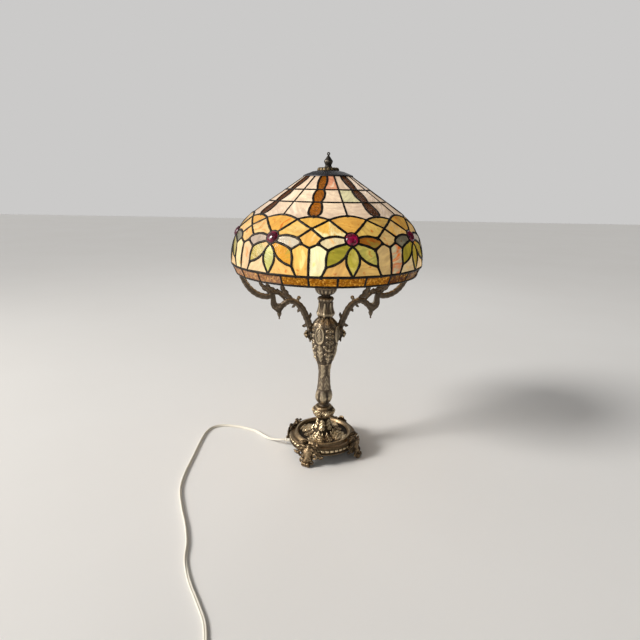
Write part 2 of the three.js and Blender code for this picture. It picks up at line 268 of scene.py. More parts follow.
class Nodes:
    """The nodes of a material or a world, and the shader that they feed."""

    def __init__(self, owner, shader):
        owner.use_nodes = True
        self.tree = owner.node_tree
        self.shader = next(n for n in self.tree.nodes if n.type == shader)

    def feed(self, socket, value):
        if isinstance(value, Signal):
            self.tree.links.new(value.socket, socket)
        else:
            socket.default_value = (*value, 1.0) if socket.type == "RGBA" else value

    def put(self, kind, output, inputs=(), **settings):
        """Adds a node and gives its output."""
        node = self.tree.nodes.new("ShaderNode" + kind)
        for key, value in settings.items():
            setattr(node, key, value)
        for key, value in dict(inputs).items():
            self.feed(node.inputs[key], value)
        return Signal(self, node.outputs[output])

    def set(self, **sockets):
        for key, value in sockets.items():
            self.feed(self.shader.inputs[key.replace("_", " ")], value)


class Finish(Nodes):
    """A material. Its colours are signals or screen values of 0 to 255."""

    def __init__(self, name, **plain):
        self.material = bpy.data.materials.new(name)
        super().__init__(self.material, "BSDF_PRINCIPLED")
        self.coords = self.put("TexCoord", "Object")
        self.set(**plain)

    def attribute(self, name, output="Fac"):
        return self.put("Attribute", output, attribute_name=name)

    def noise(self, scale, detail=3.0, rough=0.55, vector=None, distortion=0.0):
        return self.put("TexNoise", "Fac", {"Vector": vector or self.coords, "Scale": scale, "Detail": detail,
                                            "Roughness": rough, "Distortion": distortion})

    def streaks(self, stretch, detail, rough, distortion):
        """Noise that is stretched along the grain of each pane."""
        grain = self.put("Mapping", "Vector", {"Vector": self.attribute("flow", "Vector"), "Scale": stretch})
        return self.noise(1.0, detail, rough, grain, distortion)

    def cells(self, scale, output, feature="F1"):
        return self.put("TexVoronoi", output, {"Vector": self.coords, "Scale": scale}, feature=feature)

    def mix(self, share, a, b, blend="MIX"):
        a, b = (linear(x) if isinstance(x, tuple) else x for x in (a, b))
        return self.put("Mix", 2, {0: share, 6: a, 7: b}, data_type="RGBA", blend_type=blend)

    def dimmed(self, colour, share):
        return self.mix(1.0, colour, [share] * 3, "MULTIPLY")

    def bump(self, height, distance, strength):
        return self.put("Bump", "Normal", {"Height": height, "Strength": strength, "Distance": distance})


def plastic(name, colour, rough):
    finish = Finish(name)
    finish.set(Base_Color=finish.mix(finish.noise(30, 2).ranged(0.35, 0.65), colour, shaded(colour, 0.93)),
               Roughness=finish.noise(400, 3).ranged(0.3, 0.7, rough - 0.06, rough + 0.08),
               Normal=finish.bump(finish.noise(900, 2), 0.00004, 0.4))
    return finish


# ------------------------------------------------------------------ camera, light and floor
CAMERA_PLACE = Vector((-0.0117, -0.9816, 0.5908))
CAMERA_PITCH, CAMERA_ROLL = math.radians(74.33), math.radians(0.95)
FLOOR_HALF, FLOOR_HEIGHT = 9.0, -0.0004  # the floor is just under the feet

camera_data = bpy.data.cameras.new("camera")
camera_data.lens, camera_data.sensor_width = 26.0, 36.0
scene.camera = placed("camera", camera_data)
scene.camera.matrix_world = (Matrix.Translation(CAMERA_PLACE) @ Matrix.Rotation(CAMERA_PITCH, 4, "X")
                             @ Matrix.Rotation(CAMERA_ROLL, 4, "Z"))
scene.view_settings.view_transform = "Standard"


def light(name, kind, place, target, power, colour, **settings):
    data = bpy.data.lights.new(name, kind)
    data.energy, data.color = power, colour
    for key, value in settings.items():
        setattr(data, key, value)
    lamp = placed(name, data)
    lamp.location = place
    lamp.rotation_euler = (Vector(target) - Vector(place)).to_track_quat("-Z", "Y").to_euler()


light("key", "SUN", (0, 0, 0), (0.88, 0.33, -0.6), 2.3, (1.0, 0.985, 0.96), angle=math.radians(16))
for name, place, height, size, power, colour in (
        ("fill", (1.9, -1.2, 1.3), 0.35, 1.4, 2, (0.95, 0.97, 1.0)),
        ("side", (-2.3, -0.6, 1.25), 0.24, 1.2, 24, (1.0, 0.94, 0.86)),
        ("back", (0.4, 1.9, 1.8), 0.4, 1.2, 5, (1, 1, 1))):
    light(name, "AREA", place, (0, 0, height), power, colour, shape="DISK", size=size)

scene.world = bpy.data.worlds.new("studio")
sky = Nodes(scene.world, "BACKGROUND")
sideways = sky.put("SeparateXYZ", "X", {0: sky.put("TexCoord", "Generated")})
sky.set(Color=linear((203, 202, 201)),
        Strength=sky.put("Mix", "Result", {"Factor": sky.put("LightPath", "Is Camera Ray"),
                                           "A": sideways.ranged(-1.0, 0.4, 1.15, 0.08), "B": 1.0}))

plaster = Finish("floor_plaster", Roughness=0.75)
plaster.set(Base_Color=plaster.mix(plaster.noise(1.7, 4), (228, 226, 223), (234, 233, 231)))
floor_mesh = bpy.data.meshes.new("floor")
floor_mesh.from_pydata([(x * FLOOR_HALF, y * FLOOR_HALF, FLOOR_HEIGHT)
                        for x, y in ((-1, -1), (1, -1), (1, 1), (-1, 1))], [], [(0, 1, 2, 3)])
floor_mesh.materials.append(plaster.material)
placed("floor", floor_mesh)

# ------------------------------------------------------------------ flex
CORD_HALF, CORD_HALF_THICK, GROOVE = 3.0, 1.6, 0.55
LYING = 1.9  # height of the flex's line on the table
ROLL = ([0, 30, 70, 640, 720], [0, 0, 52, 52, 0])  # places along the flex, and its roll there in degrees
EASINGS, EASED_POINTS = 40, range(3, 26)
GLAND_END, GLAND_HEIGHT, GLAND_ANGLE = 92.0, 17.0, 178.0
SWITCH = Vector((-88, -549, 7.4))
PLUG = Vector((70, -545, 7.2))
COIL = Vector((14, -581, 0))
# The coil runs clockwise from above: two turns side by side and the last one on them.
COIL_TURNS = 3.0
COIL_STAGES = [(0.0, 39.2, LYING), (0.7, 39.2, LYING), (0.93, 32.6, LYING), (1.7, 32.6, LYING),
               (1.93, 35.2, 5.2), (2.05, 36.0, 5.3), (3.0, 36.0, 5.3)]  # (turns so far, radius, height)

pvc = Finish("cord_pvc")
pvc.set(Base_Color=pvc.mix(pvc.noise(60, 3), (226, 219, 203), (240, 235, 222)),
        Roughness=pvc.noise(500, 2).ranged(0.3, 0.7, 0.36, 0.5),
        Normal=pvc.bump(pvc.noise(700, 2), 0.00003, 0.5))
white_plastic = plastic("moulded_white", (232, 228, 216), 0.42)
black_plastic = plastic("moulded_black", (30, 30, 31), 0.5)


def laid(*places):
    return [(x, y, LYING) for x, y in places]


route = [polar(GLAND_ANGLE, GLAND_END + 0.3, GLAND_HEIGHT), polar(GLAND_ANGLE, GLAND_END + 6, GLAND_HEIGHT),
         (-109, 5.6, 14.6), (-122, 14, 9), (-134, 29, 4.6), (-146, 45, 2.2),
         *laid((-163, 63), (-191, 78), (-218, 88), (-245, 93), (-268, 90), (-283, 79), (-291, 60), (-294, 37),
               (-295, 9), (-295, -56), (-295, -122), (-289, -173), (-271, -225), (-248, -279), (-234, -321),
               (-226, -359), (-209, -399), (-186, -438), (-168, -470), (-159, -500)),
         (-155, -518, 2.4), (-146, -536, 4.4), (-134, -545.5, 6.4), (-124, -548.6, 7.4), (-119.3, -549, 7.4)]
in_switch = [(-108, -549, 6.4), (-88, -549, 6.2), (-68, -549, 6.4)]
link = [(-56.7, -549, 7.4), (-49, -548.6, 6.8), (-32, -545, 3.6), (-15, -542.3, 2.1),
        *laid((0, -541.8), (14, -541.8))]
tail = [(14, -545, 5.3), (28, -545, 5.3), (41.24, -545, 5.4), (52, -545, 6.2), (62, -545, 7.2),
        (69.7, -545, 7.2)]


def coil_points(count=90):
    turns, radii, heights = zip(*COIL_STAGES)
    points = []
    for i in range(1, count):
        turn = COIL_TURNS * i / count
        radius, height = np.interp(turn, turns, radii), np.interp(turn, turns, heights)
        points.append(COIL + polar(90 - 360 * turn, radius, height))
    return points


def flat_twin():
    """The section of a flat twin flex: two round cores side by side, with a shallow groove between them."""
    core = CORD_HALF - CORD_HALF_THICK
    half = []
    for i in range(13):
        a = -math.pi / 2 + math.pi * i / 12
        half.append((core + CORD_HALF_THICK * math.cos(a), CORD_HALF_THICK * math.sin(a)))
    return [*half, (0, CORD_HALF_THICK - GROOVE), *[(-x, -y) for x, y in half], (0, GROOVE - CORD_HALF_THICK)]


def settled(line):
    """The flex's line with its height over the table for its roll, and the upward side of its section."""
    made, ups = [], []
    reach = 0.0
    for i, p in enumerate(line):
        reach += (p - line[max(i - 1, 0)]).length
        along = heading(line, i)
        up = (UP - along * along.z).normalized()
        roll = math.radians(np.interp(reach, *ROLL))
        ups.append(up * math.cos(roll) - along.cross(up) * math.sin(roll))
        half = math.hypot(CORD_HALF_THICK * math.cos(roll), CORD_HALF * math.sin(roll))
        made.append(p + UP * max(0.0, half - CORD_HALF_THICK - max(0.0, p.z - LYING)))
    return made, ups


flex_line = resampled(spline([*route, *in_switch, *link, *coil_points(), *tail]), 4.0)
for _ in range(EASINGS):  # eases the bend between the base and the table
    for i in EASED_POINTS:
        flex_line[i] = (flex_line[i - 1] + flex_line[i] * 2 + flex_line[i + 1]) / 4
flex_line, flex_ups = settled(flex_line)
flex_build = Build()
swept(flex_build, flex_line, flex_ups, flat_twin())
flex = flex_build.piece("flex", "lamp_body", pvc, "cord_white", 40,
                        "cord_run", "cord_link", "cord_coil", "cord_tail")

# ------------------------------------------------------------------ shade: the surface that the glass lies in
cone_slope = [(47.2 + 97.1 * i / 4, 620 - 66 * i / 4) for i in range(4)]
shade_line = spline([*cone_slope, (144.3, 554), (160.2, 541.6), (175.6, 525.3), (186.2, 509), (191.5, 498),
                     (196.6, 481), (199.4, 464), (199.7, 446)], 8)
shade_line = resampled([*shade_line, Vector((190.5, BAND_BOTTOM))], 1.0)
shade_r = np.array([p.x for p in shade_line])
shade_z = np.array([p.y for p in shade_line])
shade_s = np.concatenate([[0], np.cumsum(np.hypot(np.diff(shade_r), np.diff(shade_z)))])
smooth_dr = np.convolve(np.gradient(shade_r), np.ones(5) / 5, "same")
smooth_dz = np.convolve(np.gradient(shade_z), np.ones(5) / 5, "same")
FLAT = math.radians(190)  # millimetres for each degree where the pattern is laid out flat
JEWEL_FLAT = math.radians(185.4)  # the same at the height of the jewels
SHADE_RADIUS = 200.0
BULB_POWER = 11000.0
SHORT_EDGE = 0.4
PANE_TILT = 0.018  # the most that a pane leans in its came
PANE_IN, PANE_OUT = -0.9, 0.55  # how far a pane may lie in and out from the shade's curve

bulb_places = [polar(a, BULB_REACH * math.cos(BULB_RISE), HUB_HEIGHT + BULB_REACH * math.sin(BULB_RISE))
               for a in BULBS]


def down(z):
    """The way down the shade from its top to that height."""
    return float(np.interp(-z, -shade_z, shade_s))


def surface(angle, s, out=0.0):
    """(point, normal) on the shade at that angle in degrees, s down it, and out from it."""
    r, z, dr, dz = (float(np.interp(s, shade_s, line)) for line in (shade_r, shade_z, smooth_dr, smooth_dz))
    size = math.hypot(dr, dz)
    nr, nz = -dz / size, dr / size
    return polar(angle, r + nr * out, z + nz * out), polar(angle, nr, nz)


def glow_at(point, normal):
    """How brightly the bulbs shine through the glass at that point. The front left is the brightest."""
    total = 0.0
    for bulb in bulb_places:
        way = point - bulb
        total += BULB_POWER * max(0.0, normal.dot(way.normalized())) ** 1.5 / way.length_squared
    return total * (1 - 0.2 * point.x / SHADE_RADIUS - 0.12 * point.y / SHADE_RADIUS)


def flat(points):
    return [Vector((phi * FLAT, down(z))) for phi, z in points]


def inside(p, loop):
    hit = False
    for a, b in pairs(loop):
        if (a.y > p.y) != (b.y > p.y) and p.x < (b.x - a.x) * (p.y - a.y) / (b.y - a.y) + a.x:
            hit = not hit
    return hit


def edge_distance(p, loop):
    best = math.inf
    for a, b in pairs(loop):
        ab = b - a
        t = max(0.0, min(1.0, (p - a).dot(ab) / ab.length_squared)) if ab.length_squared else 0.0
        best = min(best, (p - a - ab * t).length)
    return best


def filled(edge, grid):
    """(points, faces) that fill an outline in the flat, with points a grid apart inside it."""
    low_x, high_x = min(p.x for p in edge), max(p.x for p in edge)
    low_y, high_y = min(p.y for p in edge), max(p.y for p in edge)
    points = list(edge)
    for i in range(1, int((high_x - low_x) / grid) + 1):
        for j in range(1, int((high_y - low_y) / grid) + 1):
            p = Vector((low_x + i * grid - grid * 0.3, low_y + j * grid - grid * 0.3))
            if inside(p, edge) and edge_distance(p, edge) > grid * 0.4:
                points.append(p)
    points, _, faces, *_ = geometry.delaunay_2d_cdt(points, [], [list(range(len(edge)))], 1, 1e-4)
    return points, faces


def pane(build, turn, outline, tint, accent, amount, shine=1.0, grid=6.5, flatness=0.6, grain=None):
    """One piece of glass: the outline in (degrees, height), bent to the shade but flatter than it."""
    loop = []
    for p in flat(outline):
        if not loop or (p - loop[-1]).length > SHORT_EDGE:
            loop.append(p)
    if (loop[0] - loop[-1]).length < SHORT_EDGE:
        loop.pop()
    edge = []
    for a, b in pairs(loop):
        parts = max(1, math.ceil((b - a).length / grid))
        edge += [a.lerp(b, i / parts) for i in range(parts)]
    points, faces = filled(edge, grid)
    places = [surface(turn + p.x / FLAT, p.y, -LEAD_PROUD) for p in points]
    rim = np.array([p for p, _ in places[:len(edge)]])
    middle = rim.mean(0)
    across = Vector(np.linalg.svd(rim - middle)[2][2])
    tilt = Vector([rng.uniform(-1, 1) for _ in range(3)]) * PANE_TILT
    across = (across + tilt).normalized()
    middle = Vector(middle)
    drawn = rng.uniform(0, math.pi)
    grain = drawn if grain is None else grain
    shift = rng.uniform(0, 40)
    outer, inner, flow, glow = [], [], [], []
    for (p, n), q in zip(places, points):
        leans = n.dot(across)
        reach = (middle - p).dot(across) / leans if abs(leans) > 0.2 else 0.0
        p = p + n * max(PANE_IN, min(PANE_OUT, flatness * reach))
        outer.append(p)
        inner.append(p - n * GLASS_DEEP)
        flow.append(((q.x * math.cos(grain) + q.y * math.sin(grain)) * MM,
                     (q.y * math.cos(grain) - q.x * math.sin(grain)) * MM, shift))
        glow.append(glow_at(p, n) * shine)
    count = len(outer)
    edges = [(a, b) for f in faces for a, b in pairs(f)]
    joined = set(edges)
    faces = [*[tuple(reversed(f)) for f in faces], *[tuple(i + count for i in f) for f in faces],
             *[(a, b, b + count, a + count) for a, b in edges if (b, a) not in joined]]
    build.add([*outer, *inner], faces, flow=flow * 2, glow=glow * 2, tint=(*linear(tint), amount),
              accent=(*linear(accent), 1.0))


LEAD_SECTION = [(-2.4, -1.2), (-1.9, -0.5), (-1.0, -0.05), (0.0, 0.0), (1.0, -0.05), (1.9, -0.5), (2.4, -1.2),
                (2.4, -4.2), (1.4, -4.9), (0.0, -5.05), (-1.4, -4.9), (-2.4, -4.2)]


def lead(build, turn, outline, width=1.0, step=4.0):
    """A strip of came along a line of (degrees, height), proud of the glass on both sides."""
    places = [surface(turn + p.x / FLAT, p.y) for p in resampled(flat(outline), step)]
    phase = rng.uniform(0, 9)
    scales = [(width * (1 + 0.09 * math.sin(i * 1.7 + phase)), 1.0) for i in range(len(places))]
    swept(build, *zip(*places), LEAD_SECTION, scales)


def solder(build, turn, phi, z, size=3.7):
    """A low blob of solder where strips of came meet, outside and inside."""
    size *= rng.uniform(0.85, 1.15)
    for out, way in ((-0.75, 1), (-4.45, -1)):
        p, n = surface(turn + phi, down(z), out)
        outline = [(0, -0.6), (size, -0.6), (size * 0.93, 0.1), (size * 0.6, 0.55), (0, 0.72)]
        turned(build, outline, 10, facing(p, n * way))


# ------------------------------------------------------------------ shade: the pattern of one eighth
def bow(middle, half, low, rise, first, last, count):
    """A shallow arch of that rise over low, from the first to the last part of its half width."""
    return [(middle + half * t, low + rise * (1 - t * t))
            for t in (first + (last - first) * i / (count - 1) for i in range(count))]


def rim_arc(first, last, radius=JEWEL_RADIUS - 0.4):
    """Part of the jewel's edge, from the first to the last degree round it."""
    middle = down(JEWEL_HEIGHT)
    count = max(2, round(abs(last - first) / 14) + 1)
    arc = []
    for i in range(count):
        a = math.radians(first + (last - first) * i / (count - 1))
        z = np.interp(middle - radius * math.sin(a), shade_s, shade_z)
        arc.append((radius * math.cos(a) / JEWEL_FLAT, z))
    return arc


def level(z, first, last, count=5):
    return [(first + (last - first) * i / (count - 1), z) for i in range(count)]


def mirrored(line):
    return [(-x, z) for x, z in line]


def both(half):
    """A whole outline from its right half, which runs from top to bottom about the flower's line."""
    return [*half, *reversed(mirrored(half))]


def beside(line, side=1):
    """The line of (degrees, height) points about the stripe, in degrees from the flower."""
    return [(STRIPE + side * x, z) for x, z in line]


def about_stripe(half):
    """A whole outline about the stripe's line, from its right half."""
    return [*beside(half), *reversed(beside(half, -1))]


VALLEY = (12.3, 542.0)
ARCH_RISE, STRIPE_ARCH_RISE = 6.9, 5.0
ARCH_TOP = (0, VALLEY[1] + ARCH_RISE)
STRIPE_FOOT = (STRIPE, VALLEY[1] + STRIPE_ARCH_RISE)
CROSS = (STRIPE, 527.3)
CORNER = (15.5, 511.8)  # the diamond's side corner, where a side petal touches it
TIP = (17.8, 502.6)
LOW_CORNER = (12.8, 492.3)
LEAF_CORNER = (3.55, 483.0)
KITE_FOOT = (STRIPE, 495.7)
PETAL_TIP = (13.6, 463.9)
BAND_JOINT = (16.0, BAND_TOP)
BAND_MIDDLE = (0, BAND_TOP + 1.5)
arch_flower = bow(0, VALLEY[0], VALLEY[1], ARCH_RISE, 0, 1, 7)
arch_stripe = bow(STRIPE, STRIPE - VALLEY[0], VALLEY[1], STRIPE_ARCH_RISE, -1, 0, 6)
to_jewel = [VALLEY, rim_arc(58, 58.1)[0]]
petal_top = eased([rim_arc(12, 13)[0], (7.5, 515.4), (11.3, 514.9), CORNER], 4)
petal_end = eased([CORNER, (17.3, 507.6), TIP], 4)
petal_low = eased([rim_arc(-42, -41)[0], (7.0, 500.6), (9.9, 497.3), LOW_CORNER], 4)
leaf_out = eased([LOW_CORNER, (13.7, 479.0), PETAL_TIP], 4)
leaf_in = eased([PETAL_TIP, (9.7, 468.0), (6.3, 474.6), LEAF_CORNER], 4)
heart_top = eased([(0.0, 498.9), (2.2, 492.0), LEAF_CORNER], 4)
heart_low = eased([LEAF_CORNER, (3.3, 468.0), (0.0, BAND_TOP)], 4)

STRIPE_TOP = 619.2
ROWS = (593.2, 571.0)


def stripe_half(z):
    """Half the width of a brown stripe at that height, in millimetres: three swellings with necks between."""
    for top, bottom, neck, wide in ((STRIPE_TOP, ROWS[0], 5.2, 8.6), (*ROWS, 6.2, 10.8)):
        if z > bottom:
            return neck + (wide - neck) * math.sin(math.pi * (top - z) / (top - bottom)) ** 0.8
    t = (ROWS[1] - z) / (ROWS[1] - STRIPE_FOOT[1])
    narrowed = 4.6 * max(0.0, (t - 0.8) / 0.2)
    return 7.0 + (11.9 - 7.0) * math.sin(math.pi * min(1.0, t * 0.82)) ** 0.8 - narrowed


def stripe_edge(high, low, count=7):
    """The stripe's right edge between two heights, in degrees from its line."""
    edge = []
    for i in range(count):
        z = high + (low - high) * i / (count - 1)
        edge.append((math.degrees(stripe_half(z) / np.interp(down(z), shade_s, shade_r)), z))
    return edge


stripe_rows = [stripe_edge(STRIPE_TOP, ROWS[0]), stripe_edge(*ROWS), stripe_edge(ROWS[1], 547.4)]


def cone_pane(row):
    """The pane between the flower's line and the stripe, in that row of the cone."""
    edge = beside(stripe_rows[row], -1)
    top = level(edge[0][1], 0, edge[0][0])
    if row < 2:
        return [*top, *edge, *level(edge[-1][1], edge[-1][0], 0)]
    below = [p for p in reversed(arch_stripe) if p[0] < edge[-1][0] - 0.3]
    return [*top, *edge, *below, *reversed(arch_flower)]


PANES = {
    "fan": both([*arch_flower, *to_jewel, *rim_arc(58, 90)]),
    "heart": both([*heart_top, *heart_low]),
    "scale": [*reversed(arch_stripe), CROSS, *[(2 * STRIPE - x, z) for x, z in arch_stripe]],
    "kite": [CROSS, *[(2 * STRIPE - x, z) for x, z in petal_end], KITE_FOOT, *reversed(petal_end)],
    "quad": [VALLEY, CROSS, CORNER, *reversed(petal_top), *rim_arc(12, 58)],
    "side": [*petal_top, *petal_end, LOW_CORNER, *reversed(petal_low), *rim_arc(-42, 12)],
    "leaf": [*petal_low, *leaf_out, *leaf_in, *reversed(heart_top), *rim_arc(-90, -42)],
    "low": [*leaf_in, *heart_low, *level(BAND_TOP, 0, BAND_JOINT[0]), PETAL_TIP],
    "tall": [KITE_FOOT, TIP, *leaf_out, BAND_JOINT, *level(BAND_TOP, BAND_JOINT[0], STRIPE, 4)],
}
CENTRED = ("fan", "heart", "scale", "kite")
LINES = [  # on the right of a flower; each has its like on the left
    arch_flower, to_jewel, [VALLEY, CROSS], [CROSS, CORNER], petal_top, petal_end, [TIP, KITE_FOOT],
    [TIP, LOW_CORNER], petal_low, leaf_out, leaf_in, heart_top, heart_low, [PETAL_TIP, BAND_JOINT],
    arch_stripe,
]
JOINTS = [VALLEY, CORNER, TIP, LOW_CORNER, PETAL_TIP, LEAF_CORNER, BAND_JOINT]
MIDDLE_JOINTS = [CROSS, KITE_FOOT, STRIPE_FOOT, ARCH_TOP, BAND_MIDDLE]

# ------------------------------------------------------------------ shade: finishes
glass = Finish("opal_glass", Roughness=0.14, IOR=1.5, Specular_IOR_Level=0.38)
wisps = glass.streaks((34, 120, 1), 4, 0.6, 0.6)
clouds = glass.streaks((26, 38, 1), 3, 0.55, 1.2)
flecks = glass.streaks((92, 108, 1.7), 1, 0.4, 0.2)
amount = glass.attribute("tint", "Alpha")
tint = glass.attribute("tint", "Color")
glow = glass.attribute("glow")
patch = clouds * 0.72 + wisps * 0.28
share = patch.ranged(0.72 - amount * 0.42, 0.8 - amount * 0.36)
streaky = glass.mix(share, tint, glass.attribute("accent", "Color"))
milky = glass.mix(wisps.ranged(0.4, 0.72, 0.0, 0.3), streaky, (250, 238, 208), "SOFT_LIGHT")
paleness = glass.put("SeparateColor", "Blue", {"Color": tint})
specked = glass.mix(flecks.ranged(0.65, 0.8) * paleness.ranged(0.16, 0.36, 1.0, 0.15), milky, (226, 140, 56),
                    "MULTIPLY")
# Emission paints the bulbs' light shining through the glass, and whitens it into painted hot spots where the
# glow is strongest.
painted_hot_spot = glow.ranged(0.9, 2.3) * patch.ranged(0.36, 0.6)
glass.set(Base_Color=glass.dimmed(specked, 0.5),
          Emission_Color=glass.mix(painted_hot_spot * 0.8, specked, (255, 240, 178)),
          Emission_Strength=(glow * 0.36 + 0.27) * wisps.ranged(0.32, 0.7, 0.76, 1.28),
          Normal=glass.bump(wisps + clouds * 0.8, 0.0009, 0.6))

hammered = Finish("hammered_glass", Roughness=0.26, IOR=1.3, Specular_IOR_Level=0.14)
dents = hammered.cells(190, "Distance", "SMOOTH_F1")
grit = hammered.noise(330, 2, 0.7)
band_tint = hammered.mix(hammered.noise(60, 3).ranged(0.4, 0.66, 0.0, 0.6),
                         hammered.attribute("tint", "Color"), hammered.attribute("accent", "Color"))
# Painted glints: bright pale emission at the middles of the hammered dents, as if light caught in them.
painted_sparkle = dents.ranged(0.1, 0.62, 1.0, 0.0) * grit.ranged(0.42, 0.62)
hammered.set(Base_Color=hammered.dimmed(band_tint, 0.5),
             Emission_Color=hammered.mix(painted_sparkle * 0.7, band_tint, (252, 200, 92)),
             Emission_Strength=((hammered.attribute("glow") * 0.3 + 0.13)
                                * (grit.ranged(0.34, 0.66, 0.25, 1.35) + painted_sparkle * 1.6)),
             Normal=hammered.bump(dents + grit * 0.4, 0.0026, 1.0))

rippled = Finish("rippled_glass", Roughness=0.24, IOR=1.4, Specular_IOR_Level=0.14)
ripples = rippled.streaks((330, 90, 1), 2, 0.5, 1.4)
ripple_tint = rippled.mix(ripples.ranged(0.36, 0.66), rippled.attribute("tint", "Color"),
                          rippled.attribute("accent", "Color"))
rippled.set(Base_Color=rippled.dimmed(ripple_tint, 0.55), Emission_Color=ripple_tint,
            Emission_Strength=rippled.attribute("glow") * 0.3 + 0.14,
            Normal=rippled.bump(ripples, 0.0018, 0.8))

ruby = Finish("ruby_glass", Roughness=0.07, IOR=1.5, Coat_Weight=0.2, Coat_Roughness=0.03)
facet = ruby.put("RGBToBW", "Val", {"Color": ruby.cells(230, "Color")})
ruby.set(Base_Color=ruby.mix(facet.ranged(0.2, 0.8), (44, 2, 18), (84, 5, 34)),
         Emission_Color=ruby.mix(facet.ranged(0.3, 0.9), (150, 4, 52), (230, 18, 96)),
         Emission_Strength=facet.ranged(0.25, 0.95, 0.16, 0.46) * ruby.attribute("glow"))

came = Finish("lead_came", Metallic=0.75)
came.set(Base_Color=came.mix(came.noise(120, 4).ranged(0.38, 0.68), (24, 21, 19), (58, 50, 43)),
         Roughness=came.noise(300, 3).ranged(0.3, 0.7, 0.36, 0.62),
         Normal=came.bump(came.noise(260, 3), 0.0004, 0.7))

# ------------------------------------------------------------------ shade: the panels
AMBER, PEACH, CREAM, ORANGE = (228, 168, 76), (232, 188, 118), (238, 212, 158), (208, 112, 26)
GREEN, LIME, GREY_GLASS = (152, 148, 62), (190, 186, 98), (170, 162, 144)
WHITE, SALMON, MINT = (232, 202, 172), (224, 148, 112), (212, 202, 160)

# The colours of a pane are (tint, accent, amount of the accent, brightness); the brightness scales the
# painted glow of the bulbs through it.
USUAL = {
    "fan": (AMBER, ORANGE, 0.35, 0.9),
    "scale": (AMBER, ORANGE, 0.25, 0.9),
    "kite": (PEACH, AMBER, 0.45, 0.95),
    "quad": (PEACH, AMBER, 0.5, 0.95),
    "side": (GREY_GLASS, CREAM, 0.5, 0.85),
    "leaf": (GREEN, LIME, 0.4, 0.85),
    "heart": (LIME, GREEN, 0.4, 0.9),
    "low": (PEACH, ORANGE, 0.25, 0.95),
    "tall": (CREAM, AMBER, 0.4, 1.0),
    "cone0": (WHITE, (240, 214, 186), 0.5, 0.75),
    "cone1": (WHITE, (240, 214, 188), 0.5, 0.78),
    "cone2": (WHITE, (240, 212, 188), 0.5, 0.84),
}
# The panes of the front that differ from them, by sector, pane and side of the flower.
SPECIAL = {
    (0, "fan", 0): (AMBER, ORANGE, 0.45, 0.95),
    (0, "quad", -1): ((242, 186, 84), (255, 236, 170), 0.6, 1.15),
    (0, "quad", 1): ((220, 178, 92), (150, 128, 52), 0.3, 1.05),
    (0, "side", -1): ((240, 218, 170), (238, 158, 62), 0.5, 1.15),
    (0, "side", 1): ((168, 100, 28), (136, 126, 44), 0.5, 0.85),
    (0, "leaf", -1): ((166, 154, 50), (184, 168, 62), 0.5, 1.0),
    (0, "leaf", 1): ((178, 166, 76), (198, 178, 84), 0.5, 1.1),
    (0, "heart", 0): ((214, 194, 92), (178, 164, 62), 0.45, 1.2),
    (0, "low", -1): ((240, 184, 102), (224, 128, 40), 0.35, 1.2),
    (0, "low", 1): ((232, 184, 102), (220, 156, 74), 0.4, 1.2),
    (0, "tall", -1): ((250, 238, 186), (232, 218, 140), 0.4, 1.5),
    (0, "tall", 1): ((222, 184, 120), PEACH, 0.4, 1.05),
    (0, "kite", 0): ((228, 188, 120), PEACH, 0.4, 1.0),
    (0, "scale", 0): ((212, 168, 86), (170, 150, 66), 0.3, 0.95),
    (0, "cone0", -1): (SALMON, WHITE, 0.4, 0.85),
    (0, "cone1", 1): (MINT, WHITE, 0.3, 0.9),
    (7, "fan", 0): ((226, 166, 74), ORANGE, 0.35, 0.85),
    (7, "quad", -1): ((232, 194, 130), ORANGE, 0.42, 0.9),
    (7, "quad", 1): ((228, 180, 96), (232, 196, 120), 0.5, 0.95),
    (7, "side", -1): ((196, 176, 158), (168, 150, 134), 0.5, 0.8),
    (7, "side", 1): ((208, 194, 170), (220, 182, 132), 0.4, 0.85),
    (7, "leaf", -1): ((186, 166, 84), (212, 146, 56), 0.5, 0.9),
    (7, "leaf", 1): ((222, 156, 48), (158, 152, 58), 0.42, 0.95),
    (7, "heart", 0): ((192, 188, 108), (170, 164, 92), 0.4, 1.0),
    (7, "low", -1): ((240, 208, 158), PEACH, 0.4, 0.95),
    (7, "low", 1): ((236, 186, 108), ORANGE, 0.28, 1.0),
    (7, "tall", -1): ((232, 196, 150), (228, 148, 88), 0.35, 0.9),
    (7, "tall", 1): ((244, 190, 96), (252, 226, 140), 0.5, 1.25),
    (7, "kite", 0): ((238, 180, 88), (246, 204, 130), 0.55, 1.1),
    (7, "scale", 0): ((232, 174, 72), ORANGE, 0.3, 1.0),
    (1, "fan", 0): ((216, 160, 70), ORANGE, 0.4, 0.85),
    (1, "side", -1): ((120, 112, 92), (150, 142, 118), 0.5, 0.6),
    (1, "side", 1): ((206, 192, 176), GREY_GLASS, 0.4, 0.8),
    (1, "leaf", -1): ((168, 150, 48), (196, 158, 58), 0.4, 0.85),
    (1, "leaf", 1): ((190, 166, 62), ORANGE, 0.3, 0.85),
    (1, "heart", 0): ((186, 160, 58), (206, 142, 48), 0.4, 0.85),
    (1, "low", -1): ((228, 196, 140), PEACH, 0.4, 0.95),
    (1, "tall", -1): ((222, 206, 162), (228, 112, 46), 0.62, 1.0),
    (6, "fan", 0): ((220, 176, 104), PEACH, 0.4, 0.85),
    (6, "side", 1): ((128, 122, 98), (104, 104, 76), 0.5, 0.6),
    (6, "leaf", 1): ((176, 160, 80), (150, 142, 66), 0.5, 0.8),
    (6, "heart", 0): ((176, 164, 84), (150, 144, 74), 0.5, 0.8),
}
GRAIN = {(0, "quad", -1): 1.62, (7, "tall", 1): 1.5, (0, "tall", -1): 1.45}  # of panes whose streaks run down
GEM_GLOW = {0: 0.8, 7: 0.45, 1: 0.2, 6: 0.12}  # how far each jewel is lit through, by sector
LIT_SECTOR = 7  # its stripe is lit through by the nearer bulb
